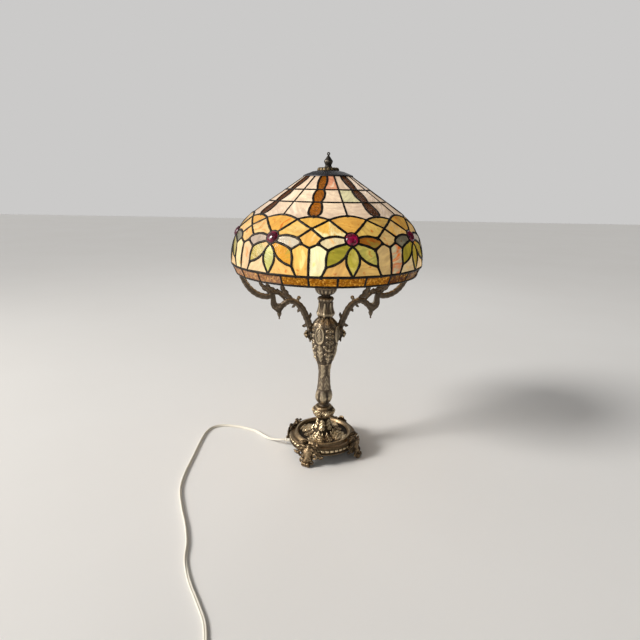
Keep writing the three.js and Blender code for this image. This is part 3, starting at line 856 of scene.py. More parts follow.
# The colours of the band round the shade: (up to this angle, tint, accent).
BAND_COLOURS = [(-115, (166, 112, 74), (196, 148, 112)), (-100, (166, 98, 12), (196, 130, 30)),
                (-60, (172, 100, 8), (206, 138, 26)), (150, (98, 50, 8), (126, 70, 14)),
                (180, (166, 112, 74), (196, 148, 112))]
BAND_STEP = 15
GEM = [(0, -2.2), (11.4, -2.2), (11.4, 0.6), (10.8, 1.9), (9.6, 3.2), (7.8, 4.3), (5.4, 5.2), (2.8, 5.7),
       (0, 5.9)]


def coloured(build, sector, name, side, outline, **more):
    """A pane of the flower pattern: on the right, 1, on the left, -1, or across its line, 0."""
    tint, accent, amount, shine = SPECIAL.get((sector, name, side), USUAL[name])
    tint = [min(252, c) for c in shaded(tint, rng.uniform(0.96, 1.03))]
    pane(build, FLOWER_ANGLE + 45 * sector, mirrored(outline) if side < 0 else outline, tint, accent, amount,
         shine, grain=GRAIN.get((sector, name, side)), **more)


def make_cone(sector, turn):
    white, stripes, strips = Build(), Build(), Build()
    # The stripe of the lit sector gets a paler brown and more glow: painted light of the nearer bulb.
    lit = sector == LIT_SECTOR
    brown = (168, 96, 18) if lit else (108, 62, 28)
    for row, edge in enumerate(stripe_rows):
        for side in (1, -1):
            coloured(white, sector, f"cone{row}", side, cone_pane(row), grid=9)
        pane(stripes, turn, about_stripe(edge), brown, shaded(brown, 0.62), 0.5,
             (1.0, 1.1, 1.45)[row] if lit else 0.7, grid=5)
        for side in (-1, 1):
            lead(strips, turn, beside(edge, side), 0.95)
        if row < 2:
            z = ROWS[row]
            reach = STRIPE - edge[-1][0]
            lead(strips, turn, level(z, -STRIPE, STRIPE, 13), 0.8)
            for phi in (0, reach, 2 * STRIPE - reach):
                solder(strips, turn, phi, z, 3.0)
    lead(strips, turn, [(0, STRIPE_TOP), ARCH_TOP], 0.85)
    return white, stripes, strips


def make_belly(sector, turn):
    panes, strips = Build(), Build()
    for name, outline in PANES.items():
        for side in (0,) if name in CENTRED else (1, -1):
            coloured(panes, sector, name, side, outline)
    for line in LINES:
        lead(strips, turn, line)
        lead(strips, turn, mirrored(line))
    lead(strips, turn, [KITE_FOOT, (STRIPE, BAND_TOP)])
    lead(strips, turn, rim_arc(0, 360, JEWEL_RADIUS + 0.3), 0.95, 2.5)
    for phi, z in JOINTS:
        solder(strips, turn, phi, z)
        solder(strips, turn, -phi, z)
    for phi, z in MIDDLE_JOINTS:
        solder(strips, turn, phi, z)
    return panes, strips


for sector in range(SECTORS):
    turn = FLOWER_ANGLE + 45 * sector
    number = sector + 1
    cone_node, belly_node = f"cone_panel_{number}", f"belly_panel_{number}"
    white, stripes, strips = make_cone(sector, turn)
    white.piece(f"cone_glass_{number}", "shade", glass, "white_glass", 35, cone_node)
    stripes.piece(f"stripe_glass_{number}", "shade", rippled, "rim_glass", 35)
    strips.piece(f"cone_came_{number}", "shade", came, "dark_cap", 60, cone_node)
    panes, strips = make_belly(sector, turn)
    panes.piece(f"belly_glass_{number}", "shade", glass, "amber_glass", 35, belly_node)
    strips.piece(f"belly_came_{number}", "shade", came, "dark_cap", 60, belly_node)
    gem = Build()
    turned(gem, GEM, 32, facing(*surface(turn, down(JEWEL_HEIGHT), -1.4)), glow=GEM_GLOW.get(sector, 0.5))
    gem.piece(f"gem_{number}", "shade", ruby, "ruby_glass", 40, f"jewel_{number}")

band, band_came = Build(), Build()
for i in range(360 // BAND_STEP):
    first = FLOWER_ANGLE - STRIPE + BAND_STEP * i
    middle = (first + BAND_STEP / 2 + 180) % 360 - 180
    tint, accent = next(row[1:] for row in BAND_COLOURS if middle < row[0])
    outline = [*level(BAND_TOP, 0, BAND_STEP), *level(BAND_BOTTOM + 1.2, BAND_STEP, 0)]
    pane(band, first, outline, tint, accent, 0.5, flatness=0.3)
    lead(band_came, first, [(0, BAND_TOP), (0, BAND_BOTTOM + 0.4)], 0.9)
    solder(band_came, first, 0, BAND_TOP - 0.5, 3.3)
for height, width in ((BAND_TOP, 1.0), (BAND_BOTTOM + 1.9, 0.9)):
    places = [surface(5 * i, down(height)) for i in range(72)]
    swept(band_came, *zip(*places), LEAD_SECTION, [(width, 1.0)] * 72, closed=True)
band.piece("band_glass", "shade", hammered, "rim_glass", 35, "rim_band")
band_came.piece("band_came", "shade", came, "dark_cap", 60, "rim_band")


# ------------------------------------------------------------------ brass
def brass(name, hollow, body, worn, rough, low=-0.4, high=1.1):
    """Cast brass with patina left in the hollows and worn bright on what stands proud."""
    finish = Finish(name, Metallic=0.92)
    edge = finish.put("NewGeometry", "Pointiness").ranged(0.47, 0.56)
    mottle = finish.noise(240, 4, 0.65)
    height = finish.attribute("relief").ranged(low, high) * 0.58 + (edge * 0.3 + mottle * 0.35)
    aged = finish.mix(height.ranged(0.28, 0.6), hollow, body)
    rubbed = finish.mix(height.ranged(0.64, 0.98), aged, worn)
    stains = finish.noise(46, 3, 0.6).ranged(0.45, 0.7, 0.0, 0.4)
    finish.set(Base_Color=finish.mix(stains, rubbed, shaded(body, 0.62)),
               Roughness=height.ranged(0.3, 0.9, rough + 0.24, rough),
               Normal=finish.bump(finish.noise(420, 4, 0.7) + finish.noise(90, 3), 0.0005, 0.7))
    return finish


antique = brass("antique_brass", (50, 44, 38), (118, 105, 90), (214, 196, 164), 0.36, -0.9, 1.3)
bright = brass("cast_brass", (42, 34, 25), (138, 116, 88), (238, 216, 176), 0.3)
cap_metal = brass("bronze_lacquer", (44, 43, 46), (76, 75, 79), (132, 130, 130), 0.38, -1.0, 2.4)
worn_dark = brass("worn_bronze", (36, 34, 33), (84, 78, 70), (196, 182, 156), 0.3)
gilt = brass("rubbed_gilt", (36, 31, 26), (126, 108, 78), (192, 170, 126), 0.4)
steel = brass("zinc_steel", (88, 88, 86), (150, 150, 148), (206, 206, 204), 0.34)


# ------------------------------------------------------------------ ornament
def repeat(angle, count, first=0.0):
    """The angle from the middle of the nearest of count equal parts, in radians."""
    part = TURN / count
    return (angle - math.radians(first) + part / 2) % part - part / 2


def flutes(angle, count, power=1.0):
    return abs(math.cos(count * angle)) ** power


def acanthus(u, v, half, lobes=3):
    """The height, to about 1, of a lobed leaf at u across its rib and v, 0 to 1, from its foot to its tip."""
    if not 0 < v < 1:
        return 0.0
    edge = half * math.sin(math.pi * (0.1 + 0.9 * v)) ** 0.55
    edge *= 0.74 + 0.26 * abs(math.sin(lobes * math.pi * v))
    x = abs(u) / max(edge, 1e-6)
    if x >= 1:
        return 0.0
    veins = 0.2 * math.cos(TURN * (lobes * v + 0.9 * x))
    return (1 - x * x) ** 0.5 * (0.72 + veins) + 0.34 * math.exp(-(u / (0.14 * half)) ** 2)


def curl(u, v, middle_u, middle_v, size, hand=1):
    """The height, 0 to 1, of a rolled scroll of that size."""
    x, y = (u - middle_u) * hand, v - middle_v
    reach = math.hypot(x, y)
    if reach > size:
        return 0.0
    turns = reach / (0.52 * size) - math.atan2(y, x) / TURN
    eye = 0.5 * math.exp(-(reach / (0.2 * size)) ** 2)
    return (0.5 + 0.5 * math.cos(TURN * turns)) * (1 - (reach / size) ** 4) + eye


def foliage(u, v, size=7.0, seed=3.1):
    """Dense cast scrollwork, the same on both sides of u = 0; its height is 0 to about 1."""
    drift = noise.noise(Vector((abs(u) / size, v / size, seed)))
    fine = noise.noise(Vector((abs(u) * 2.3 / size, v * 2.3 / size, seed + 5)))
    return (1 - abs(math.sin(4.4 * drift * math.pi + 1.6 * v / size)) ** 0.8) * 0.8 + 0.35 * fine


def collar_relief(a, r, z):
    leaf = acanthus(repeat(a, 6, -100) * r, (z - 55) / 25, 0.52 * r)
    return 2.1 * leaf + 0.9 * foliage(repeat(a, 6, -70) * r, z, 6.0, 2.2) - 0.7


def ball_relief(a, r, z):
    u = repeat(a, 6, -100) * r
    curls = curl(abs(u), z, 6.6, 99.5, 7.0) + curl(abs(u), z, 5.0, 89.5, 4.5, -1)
    leaf = acanthus(repeat(a, 6, -70) * r, (z - 86) / 24, 6.2)
    shell = swell(z, 97, 15) * (1.9 * curls + 1.9 * leaf + 0.7 * foliage(u, z, 5.0, 1.3) - 0.5)
    return shell + 0.8 * swell(z, 109, 2.4)


def baluster_relief(a, r, z):
    if z < 154:
        u = repeat(a, 6, -96)
        lobe = max(0.0, math.cos(3 * u)) ** 0.5
        leaf = acanthus(u * r, (152 - z) / 38, 0.5 * r)
        return swell(z, 135, 24) * (1.9 * lobe - 1.2 + 1.5 * leaf) + 0.8 * swell(z, 117.0, 2.4)
    climb = acanthus(repeat(a, 6, -66) * r, (z - 148) / 40, 0.46 * r)
    fall = acanthus(repeat(a, 4, -112) * r, (217 - z) / 34, 0.6 * r)
    return flutes(a - math.radians(-96), 3, 0.5) - 0.6 + 1.1 * climb + 1.3 * fall


# The scrolls on each side of the vase's columns: (across, height, size, hand).
VASE_CURLS = ((5.2, 297, 5.6, 1), (5.6, 284.5, 6.2, -1), (4.8, 270.5, 6.8, 1), (9.5, 260, 5.2, -1),
              (4.2, 254, 5.6, -1), (6.4, 243, 5.4, 1), (3.2, 233, 4.6, -1))


def vase_relief(a, r, z):
    u = repeat(a, 4, -114) * r
    column = repeat(a, 4, -69) * r
    medallion = math.hypot(u / 9.0, (z - 287) / 17.5)
    if z > 305:
        crown = 1.1 * acanthus(repeat(a, 10, -114) * r, (323 - z) / 20, 0.3 * r)
        return crown + 0.5 * foliage(column, z, 5.0) - 0.2
    if medallion < 1.2 and z > 262:
        ring = 1.6 * math.exp(-((medallion - 1.0) / 0.13) ** 2)
        scales = 0.4 * math.cos(u * 1.5) * math.cos(z * 0.9) + 0.8 * acanthus(u, (z - 272) / 29, 5.6)
        return 0.7 + ring + (scales - 0.4 if medallion < 0.85 else 0.0)
    curls = max(0.0, *[curl(abs(column), z, *place) for place in VASE_CURLS])
    drop = acanthus(u, (264 - z) / 40, 8.4, 4)
    rib = math.exp(-(column / 1.5) ** 2) * (0.7 + 0.3 * math.cos(z * 1.1))
    shells = acanthus(column, (z - 222) / 22, 7.0)
    bosses = swell(math.hypot(abs(column) - 2.5, z - 252), 0, 4.0) * 1.6
    bosses += swell(math.hypot(column, z - 233), 0, 4.2) * 1.5
    return 1.7 * curls + 1.9 * drop + 1.3 * rib + 1.2 * shells + bosses + 0.9 * foliage(column, z, 5.0) - 0.5


def neck_relief(a, r, z):
    if z < 357:
        tongue = acanthus(repeat(a, 7, -98) * r, (z - 320) / 40, 0.4 * r, 1)
        return 1.6 * tongue + 1.3 * flutes(a + math.radians(98), 7, 0.6) - 1.2 + 0.7 * swell(z, 331, 5)
    return flutes(a, 7) * swell(z, 363.5, 5) - 0.2


def cup_relief(a, r, z):
    if r < 11:
        return 0.0
    return (1.9 * flutes(a, 8, 0.7) - 1.0) * swell(z, 382, 10) + 0.5 * swell(z, 389.6, 1.6) * flutes(a, 24)


def hub_relief(a, r, z):
    return 0.4 * flutes(a, 12) * swell(z, 448, 5)


def dish_relief(a, r, z):
    near_foot = repeat(a, 4, FEET[0])
    if r < 56.5 and z > 40:
        leaf = acanthus(near_foot * r, (58 - r) / 36, 0.42 * r, 5)
        wing = acanthus((abs(near_foot) - 0.36) * r, (50 - r) / 26, 0.2 * r)
        small = acanthus(repeat(a, 4, FEET[0] + 45) * r, (46 - r) / 22, 0.26 * r)
        pits = foliage(near_foot * r, r, 8.0)
        return 3.3 * leaf + 1.9 * wing + 1.7 * small + 0.9 * pits * swell(r, 34, 22) - 0.8
    if r > 70.5 and z > 37:
        return 1.9 * foliage(near_foot * r, z * 1.6, 6.0, 4.0) * swell(near_foot, 0, 0.42)
    if r > 73:
        bead = max(0.0, 1 - (repeat(a, 46, 3) / (0.44 * TURN / 46)) ** 2) ** 0.5
        row = (2.9 * bead - 0.6) * swell(z, 34.6, 4.0) * (0.0 if abs(near_foot) < 0.26 else 1.0)
        cast = 0.8 * foliage(near_foot * r, z, 5.0, 8.0) * swell(near_foot, 0, 0.5)
        return row + cast - 0.5 * swell(z, 29.5, 3)
    if 57 < r < 70:
        return 0.5 + 0.12 * noise.noise(Vector((r * math.cos(a) / 9, r * math.sin(a) / 9, z / 9)))
    return 0.0


# ------------------------------------------------------------------ stem
def bored(outside):
    """The outline with the rod's hole through its middle."""
    return [*outside, (ROD_HOLE, outside[-1][1]), (ROD_HOLE, outside[0][1])]


def brass_piece(name, node, outline, relief, steps, step, finish, slot, body="lamp_body"):
    build = Build()
    turned(build, outline, steps, relief=relief, step=step)
    build.piece(name, body, finish, slot, 40, node)


brass_piece("collar", "base_collar",
            bored(eased([(21.4, 56), (19.4, 60.5), (16.8, 67), (15.2, 74), (14.2, 78.5), (15.4, 81.2)])),
            collar_relief, 132, 0.9, bright, "bright_brass")
brass_piece("knop", "ball_knop",
            bored(eased([(14.3, 81.5), (17.4, 84.4), (22.4, 89.2), (24.6, 97.6), (22.8, 104.0), (17.4, 109.6),
                         (11.6, 112)])),
            ball_relief, 192, 0.8, bright, "bright_brass")
brass_piece("slim_baluster", "baluster",
            bored(eased([(11.4, 112.3), (10.6, 115.5), (13.0, 119), (16.6, 124.6), (18.6, 133.4),
                         (18.0, 142), (15.4, 153.5), (13.8, 164.8), (12.9, 179), (12.6, 193), (13.6, 204),
                         (15.8, 214.9)])),
            baluster_relief, 144, 0.9, antique, "antique_brass")
brass_piece("vase_body", "vase",
            [*eased([(16.4, 215.2), (19.0, 223.7), (24.0, 237.6), (26.4, 248.6), (28.2, 265), (30.2, 277),
                     (30.3, 290), (28.6, 302), (24.6, 312), (17.4, 319.4), (14, 323)]),
             (10.4, 323), (10.4, 318), (17, 300), (22, 285), (22, 262), (16, 230), (11, 215.2)],
            vase_relief, 216, 0.8, antique, "antique_brass")
brass_piece("neck", "tulip_neck",
            bored(eased([(12.8, 323.3), (16.4, 325.8), (18.8, 331), (17.8, 337), (15.4, 346), (15.0, 353),
                         (15.6, 358), (17.4, 364), (16.0, 368), (9.6, 369.5)])),
            neck_relief, 140, 0.8, antique, "antique_brass")
brass_piece("cup", "drip_cup",
            [*eased([(9.6, 369.8), (10.5, 372), (15.6, 374.7), (20.6, 379.5), (23.2, 385.5), (24.2, 391.3)]),
             (22.8, 391.5), (20.3, 385), (13, 380.5), (ROD_HOLE, 380.5), (ROD_HOLE, 369.8)],
            cup_relief, 144, 0.8, antique, "antique_brass")
brass_piece("hub", "cluster_hub",
            bored(eased([(9, 434), (15, 438), (16.4, 442), (14.6, 448), (16.4, 454), (15, 458), (9, 462)])),
            hub_relief, 96, 1.2, bright, "bright_brass")


# ------------------------------------------------------------------ cast leaves, scrolls, bars and plates
def leaf_sheet(build, spine, half, lobes, roll, face, proud, thick=1.1, columns=9):
    """A cast leaf along a spine: lobed edges, a rib and veins. Its front looks along face, its edges roll by
    roll, and its veins stand proud by about proud."""
    line = resampled(spline(spine), 1.6)
    rows = len(line)
    verts, heights = [], []
    for front in (True, False):
        for i, p in enumerate(line):
            t = i / (rows - 1)
            along = heading(line, i)
            side = along.cross(face).normalized()
            up = side.cross(along)
            edge = 0.68 + 0.32 * abs(math.sin(lobes * math.pi * t))
            width = half * math.sin(math.pi * (0.12 + 0.86 * t)) ** 0.7 * edge
            for j in range(columns):
                x = 2 * j / (columns - 1) - 1
                vein = 0.35 * math.cos(TURN * (lobes * t + 0.8 * abs(x))) + 0.6 * math.exp(-(x / 0.16) ** 2)
                h = proud * (vein - 0.2 * abs(x)) if front else -thick
                verts.append(p + side * (x * width) + up * (h + roll * width * x * x))
                heights.append(h * 0.9 + 0.15 if front else 0.45)
    size = rows * columns
    corners = [i * columns + j for i in range(rows - 1) for j in range(columns - 1)]
    faces = [(a + columns, a + columns + 1, a + 1, a) for a in corners]
    faces += [tuple(size + i for i in reversed(f)) for f in faces]
    ring = [*range(columns), *[i * columns + columns - 1 for i in range(1, rows)],
            *range(size - 2, size - columns - 1, -1), *[i * columns for i in range(rows - 2, 0, -1)]]
    faces += [(a, b, b + size, a + size) for a, b in pairs(ring)]
    build.add(verts, faces, relief=heights)


def volute(build, centre, axis_u, axis_v, radius, turns, thick, start):
    """A rolled scroll: a round bar on a spiral in the plane of axis_u and axis_v, from start degrees."""
    out = axis_u.cross(axis_v).normalized()
    points, scales = [], []
    count = max(8, round(turns * 16))
    for i in range(count + 1):
        t = i / count
        a = math.radians(start) + TURN * turns * t
        r = radius * (1 - 0.82 * t)
        points.append(centre + axis_u * (r * math.cos(a)) + axis_v * (r * math.sin(a)))
        scales.append((1 - 0.45 * t, 1 - 0.45 * t))
    swept(build, points, [out] * len(points), oval(thick, thick, 8), scales,
          relief=[0.9 if j in (1, 2, 3) else 0.2 for _ in points for j in range(8)])


def stud(build, centre, out, radius, petals):
    """A small cast flower with a round middle."""
    outline = [(0, -2.0), (radius, -2.0), (radius * 1.02, -0.2), (radius * 0.7, 1.0), (radius * 0.42, 0.9),
               (radius * 0.36, 2.0), (radius * 0.2, 2.9), (0, 3.0)]
    turned(build, outline, petals * 8, facing(centre, out), step=radius * 0.12,
           relief=lambda a, r, z: (0.22 * radius * (flutes(a, petals / 2) - 0.6)
                                   * swell(r, radius * 0.85, radius * 0.5)))


def slab(build, spot, outline, thick, chamfer, relief=0.5):
    """A plate of the (radius, height) outline, centred on the plane of spot, with chamfered edges."""
    n = len(outline)
    middle_r, middle_z = sum(r for r, _ in outline) / n, sum(z for _, z in outline) / n
    verts, values = [], []
    flat_half = thick / 2 - chamfer
    for w, inset in ((-thick / 2, chamfer), (-flat_half, 0), (flat_half, 0), (thick / 2, chamfer)):
        for r, z in outline:
            r, z = r - middle_r, z - middle_z
            k = max(0.0, 1 - inset / math.hypot(r, z))
            verts.append(spot(middle_r + r * k, w, middle_z + z * k))
            values.append(relief + (0.0 if inset else 0.5))
    faces = [tuple(range(n)), tuple(reversed(range(3 * n, 4 * n)))]
    for start in (0, n, 2 * n):
        faces += [(start + i, start + n + i, start + n + j, start + j) for i, j in pairs(range(n))]
    build.add(verts, faces, relief=values)


def bar(build, spot, line, in_plane, across, groove):
    """A cast branch along (radius, height) points, with a groove along both of its faces."""
    path = resampled(spline(line, 5), 2.2)
    marks = [i / (len(line) - 1) for i in range(len(line))]
    points, normals, scales = [], [], []
    for i, p in enumerate(path):
        along = heading(path, i)
        points.append(spot(p.x, 0, p.y))
        normals.append((spot(p.x - along.y, 0, p.y + along.x) - points[-1]).normalized())
        share = i / (len(path) - 1)
        wave = 1 + 0.05 * math.sin(i * 1.35)
        scales.append((np.interp(share, marks, across) * wave, np.interp(share, marks, in_plane) * wave))
    section, proud = [], []
    for x, y in oval(1, 1, 20):
        dip = math.exp(-(y / 0.3) ** 2)
        section.append((x * (1 - groove * dip), y))
        proud.append(0.55 - 0.9 * dip + 0.5 * max(0.0, y))
    swept(build, points, normals, section, scales, relief=proud * len(path))


# ------------------------------------------------------------------ base
FOOT_LEG = [(62, 33), (71, 36), (78.5, 34), (82.5, 27), (83.8, 18), (86.5, 11), (90, 6.4)]
LEG_WIDTH, LEG_DEPTH = ([0, 0.35, 0.7, 1], [14.5, 14, 8.6, 8.2]), ([0, 0.4, 0.8, 1], [4.4, 5.0, 4.6, 5.0])
FOOT_TOE = [(0, -9.4), (2.8, -9.6), (5.2, -8.8), (6.0, -6.4), (5.4, -3.0), (6.0, 0), (5.4, 3.0), (6.0, 6.4),
            (5.2, 8.8), (2.8, 9.6), (0, 9.4)]
FOOT_SPINE = [(70, 0, 46.5), (77, 0, 44.8), (83.6, 0, 37), (86.4, 0, 27), (88.6, 0, 17.5), (92.6, 0, 12.6),
              (96.0, 0, 12.8)]
# The leaves on each side of a foot: (spine, half width, roll, direction they face, how proud they are).
OUT, RAISED, ASIDE = (1, 0, 0), (0.85, 0, 0.5), (1, 0.5, 0)
FOOT_LEAVES = [
    ([(82.0, 6, 40), (83.2, 15, 38), (81.5, 24, 33.5), (78.0, 32, 33)], 6.4, -0.2, OUT, 1.4),
    ([(80.5, 20, 27), (80.6, 29, 23.5), (77.8, 37, 26)], 5.4, -0.2, OUT, 1.2),
    ([(66.5, 6, 46.6), (72, 14, 48.4), (74.4, 22, 46.0), (72.6, 30, 42.4)], 5.2, -0.25, RAISED, 1.3),
    ([(84.6, 3.5, 30), (87.4, 9.4, 22), (88.2, 12.4, 14)], 4.6, -0.3, ASIDE, 1.2),
]

DISH = [*eased([(68, 37.5), (69.5, 29), (73.5, 24), (78.4, 25.2), (79.4, 29), (77.2, 34), (76.6, 37.4),
                (75.6, 40.6), (72.4, 42.2), (69.4, 41.2), (67.6, 42.4), (65.6, 45.4), (62.8, 47.4),
                (59.6, 46.4), (57.4, 42.8), (54, 41.2), (42, 41.6), (30, 46.0), (24, 52), (21.2, 55.7)]),
        (ROD_HOLE, 55.7), (ROD_HOLE, 48.4), (16, 48.4), (27, 43), (40, 39), (54, 38), (66, 36.5)]

casting = Build()
turned(casting, DISH, 320, relief=dish_relief, step=1.1)
for azimuth in FEET:
    out, side, spot = radial(azimuth)
    leg = resampled(spline([spot(r, 0, z) for r, z in FOOT_LEG], 5), 1.5)
    section = oval(1, 1, 18)
    reach = [i / (len(leg) - 1) for i in range(len(leg))]
    scales = [(np.interp(t, *LEG_WIDTH), np.interp(t, *LEG_DEPTH)) for t in reach]
    swept(casting, leg, [heading(leg, i).cross(side) for i in range(len(leg))], section, scales,
          relief=[0.1 + 0.7 * max(0.0, y) for x, y in section] * len(leg))
    turned(casting, FOOT_TOE, 28, facing(spot(90.4, 0, 6.1), side, "X"), step=0.8,
           relief=lambda a, r, z: 0.15 * math.cos(7 * a))
    leaf_sheet(casting, [spot(*p) for p in FOOT_SPINE], 15.0, 5, -0.22, spot(*RAISED), 1.8, columns=13)
    for hand in (-1, 1):
        _, across, spot = radial(azimuth, hand)
        volute(casting, spot(81.0, 16.5, 25.5), across, UP, 9.4, 1.4, 3.1, 120)
        volute(casting, spot(86.8, 11.4, 10.6), across, -UP, 6.2, 1.2, 2.6, 200)
        volute(casting, spot(75.4, 13.5, 44.2), across, out * 0.7 + UP * 0.7, 6.4, 1.2, 2.3, 20)
        for spine, half, roll, face, proud in FOOT_LEAVES:
            leaf_sheet(casting, [spot(*p) for p in spine], half, 3, roll, spot(*face), proud)
casting.piece("base_ornate", "lamp_body", bright, "bright_brass", 55, "base_casting")

# ------------------------------------------------------------------ side arms
# The branches of an arm: (places, half widths in its plane, half widths across it, depth of the groove).
LOW_BRANCH = ([(31.5, 290), (35.5, 306), (43, 325), (50.5, 341), (62, 354.0), (76, 360.0), (86, 356.5),
               (94, 349), (99, 340)],
              [6.8, 7.2, 7.2, 7.3, 7.2, 6.8, 6.8, 6.8, 4.2],
              [5.2, 5.8, 5.8, 5.8, 5.6, 5.4, 5.2, 5.0, 3.6], 0.1)
HIGH_BRANCH = ([(114, 373), (124, 370.0), (137, 371.0), (151, 377.0), (164, 388.5), (174, 403.5), (182, 420)],
               [6.2, 6.5, 6.5, 6.3, 6.0, 5.5, 4.4], [5.0, 5.2, 5.2, 5.1, 4.9, 4.6, 3.8], 0.24)
TWIG = ([(88, 362), (97, 371), (106, 377.5), (118, 378)], [2.6, 2.4, 2.4, 2.6], [2.8, 2.6, 2.6, 2.8], 0.1)
KNEE = [(121.5, 382), (119, 369), (119.6, 353), (116.5, 344.5), (108.5, 337.5), (101, 331.5), (96, 337),
        (90.5, 347.5), (89, 355), (97, 353.5), (103.5, 352), (107.4, 358), (108.2, 366), (109.2, 372),
        (114, 379)]
ARM_LEAVES = [  # on each face of an arm: (spine, half width, lobes)
    ([(72, 362), (82, 369), (90, 380), (97, 397)], 7.6, 3),
    ([(80, 368), (92, 373), (101, 379.5), (106, 387)], 5.4, 2),
    ([(98, 376.5), (110, 381), (121, 387), (129, 399)], 6.8, 3),
    ([(104, 377), (118, 380.5), (131, 388), (144, 402)], 6.4, 4),
    ([(57, 348), (57.5, 341), (61.5, 334.0)], 4.0, 2),
    ([(66, 355), (69, 348.5), (74, 345)], 3.4, 2),
    ([(38, 318), (33.5, 325), (32.8, 333)], 3.8, 2),
    ([(39, 309), (45, 303.5), (51.5, 302.5)], 4.2, 2),
]
KNEE_LEAF = [(92, 4.4, 351), (101, 5.8, 347), (108, 5.6, 344), (115, 4.6, 350)]
ROOT_LEAF = [(30.5, 0, 310), (37.0, 0, 303), (40.0, 0, 290), (38.0, 0, 276), (32.8, 0, 268)]
BUDS = ((58.5, 366.4, 4.3, 1.0), (61.0, 360.5, 3.4, 1.6))  # (radius, height, size, how much taller)
BUD = ((0, -1), (0.7, -0.7), (1, 0), (0.7, 0.7), (0, 1))
PENDANT = [(0, -12.4), (1.2, -11.6), (2.3, -9.8), (1.3, -8.0), (2.0, -6.4), (3.6, -3.2), (4.8, 1.2),
           (4.6, 4.4), (3.0, 6.4), (1.8, 8.2), (0, 8.6)]

for arm_side, azimuth in ARMS.items():
    out, _, spot = radial(azimuth)
    arm, bloom, drop = Build(), Build(), Build()
    for branch in (LOW_BRANCH, HIGH_BRANCH, TWIG):
        bar(arm, spot, *branch)
    slab(arm, spot, KNEE, 9.5, 1.1, 0.1)
    for r, z, size, tall in BUDS:
        outline = [(size * x, size * tall * y) for x, y in BUD]
        turned(arm, outline, 14, Matrix.Translation(spot(r, 0, z)), step=0.9,
               relief=lambda a, r, z: 0.12 * math.cos(5 * a) + 0.2)
    leaf_sheet(arm, [spot(*p) for p in ROOT_LEAF], 10.5, 4, -0.2, out, 1.7, 5.0)
    for hand in (-1, 1):
        _, across, hand_spot = radial(azimuth, hand)
        leaf_sheet(arm, [hand_spot(*p) for p in KNEE_LEAF], 5.8, 3, -0.2, across, 1.1, 2.0)
        for spine, half, lobes in ARM_LEAVES:
            leaf_sheet(arm, [hand_spot(r, 1.9, z) for r, z in spine], half, lobes, -0.14, across, 1.0, 2.0)
        volute(arm, hand_spot(36.5, 8.0, 297), across, UP, 5.6, 1.2, 2.1, 160)
        volute(arm, hand_spot(34.0, 7.0, 271), across, -UP, 5.0, 1.2, 1.9, 160)
    arm.piece(f"arm_cast_{arm_side}", "lamp_body", antique, "antique_brass", 50, f"arm_{arm_side}")
    stud(bloom, spot(42.6, 0, 284), out, 8.6, 6)
    stud(bloom, spot(44.8, 0, 284), out, 5.6, 5)
    bloom.piece(f"arm_bloom_{arm_side}", "lamp_body", bright, "bright_brass", 45, f"arm_screw_{arm_side}")
    turned(drop, PENDANT, 24, Matrix.Translation(spot(101, 0, 330.6)), step=0.6,
           relief=lambda a, r, z: 0.35 * math.cos(6 * a) * swell(z, 0, 5))
    drop.piece(f"arm_pendant_{arm_side}", "lamp_body", antique, "antique_brass", 50, f"arm_drop_{arm_side}")


# ------------------------------------------------------------------ cap, rosette and finial
def cap_relief(a, r, z):
    return 0.5 * flutes(a, 24) * swell(r, 33, 4.5) if z > 620 else 0.0


def rosette_relief(a, r, z):
    leaves = 1.1 * (flutes(a, 8) - 0.5) * swell(r, 20, 4.2)
    veins = 0.35 * math.cos(32 * a) * swell(r, 19, 2.6)
    return leaves + veins - 0.7 * swell(r, 15.0, 1.2) + 0.6 * swell(r, 11, 3.2) * flutes(a, 5)


def finial_relief(a, r, z):
    return 0.55 * flutes(a, 4) * swell(z, 647, 5.5) + 0.2 * swell(z, 636.5, 1.2)


brass_piece("cap_dome", "shade_cap",
            [(49.0, 618.2), (50.4, 617.1), (51.0, 618.0), (50.2, 619.9),
             *eased([(44, 622.6), (36, 625.5), (24, 628.8), (4.4, 629.4)]),
             (4.4, 628.2), (23, 627.6), (36, 624.2), (48.2, 619.0)],
            cap_relief, 144, 1.4, cap_metal, "dark_cap", "shade")
brass_piece("rosette_cast", "rosette",
            [(17.0, 628.2), (21.0, 628.3), (22.0, 629.6), (21.8, 631.6), (20.4, 633.6), (18.0, 635.0),
             (15.0, 635.4), (12, 634.6), (4.4, 634.6), (4.4, 629.5)],
            rosette_relief, 192, 0.6, gilt, "bright_brass", "shade")
EYE_HEIGHT, EYE_RADIUS, EYE_WIRE = 661.6, 2.15, 1.25
finial = Build()
turned(finial,
       [(0, 641.5), (4.0, 641.0), (4.3, 634.8),
        *eased([(7.6, 634.8), (7.7, 637.0), (6.5, 638.4), (6.3, 640.2), (7.3, 642.4), (8.3, 646),
                (8.2, 648.2), (6.0, 652), (3.9, 655.2), (2.3, 657.4), (1.6, 658.4), (0.8, 659.0)]),
        (0, 659.1)],
       72, relief=finial_relief, step=0.45)
turned(finial, [(EYE_RADIUS + x, z) for x, z in oval(EYE_WIRE, EYE_WIRE, 16)], 40,
       Matrix.Translation(UP * EYE_HEIGHT) @ Matrix.Rotation(math.pi / 2, 4, "X"))
finial.piece("finial_turned", "finial", worn_dark, "dark_cap", 40, "finial")

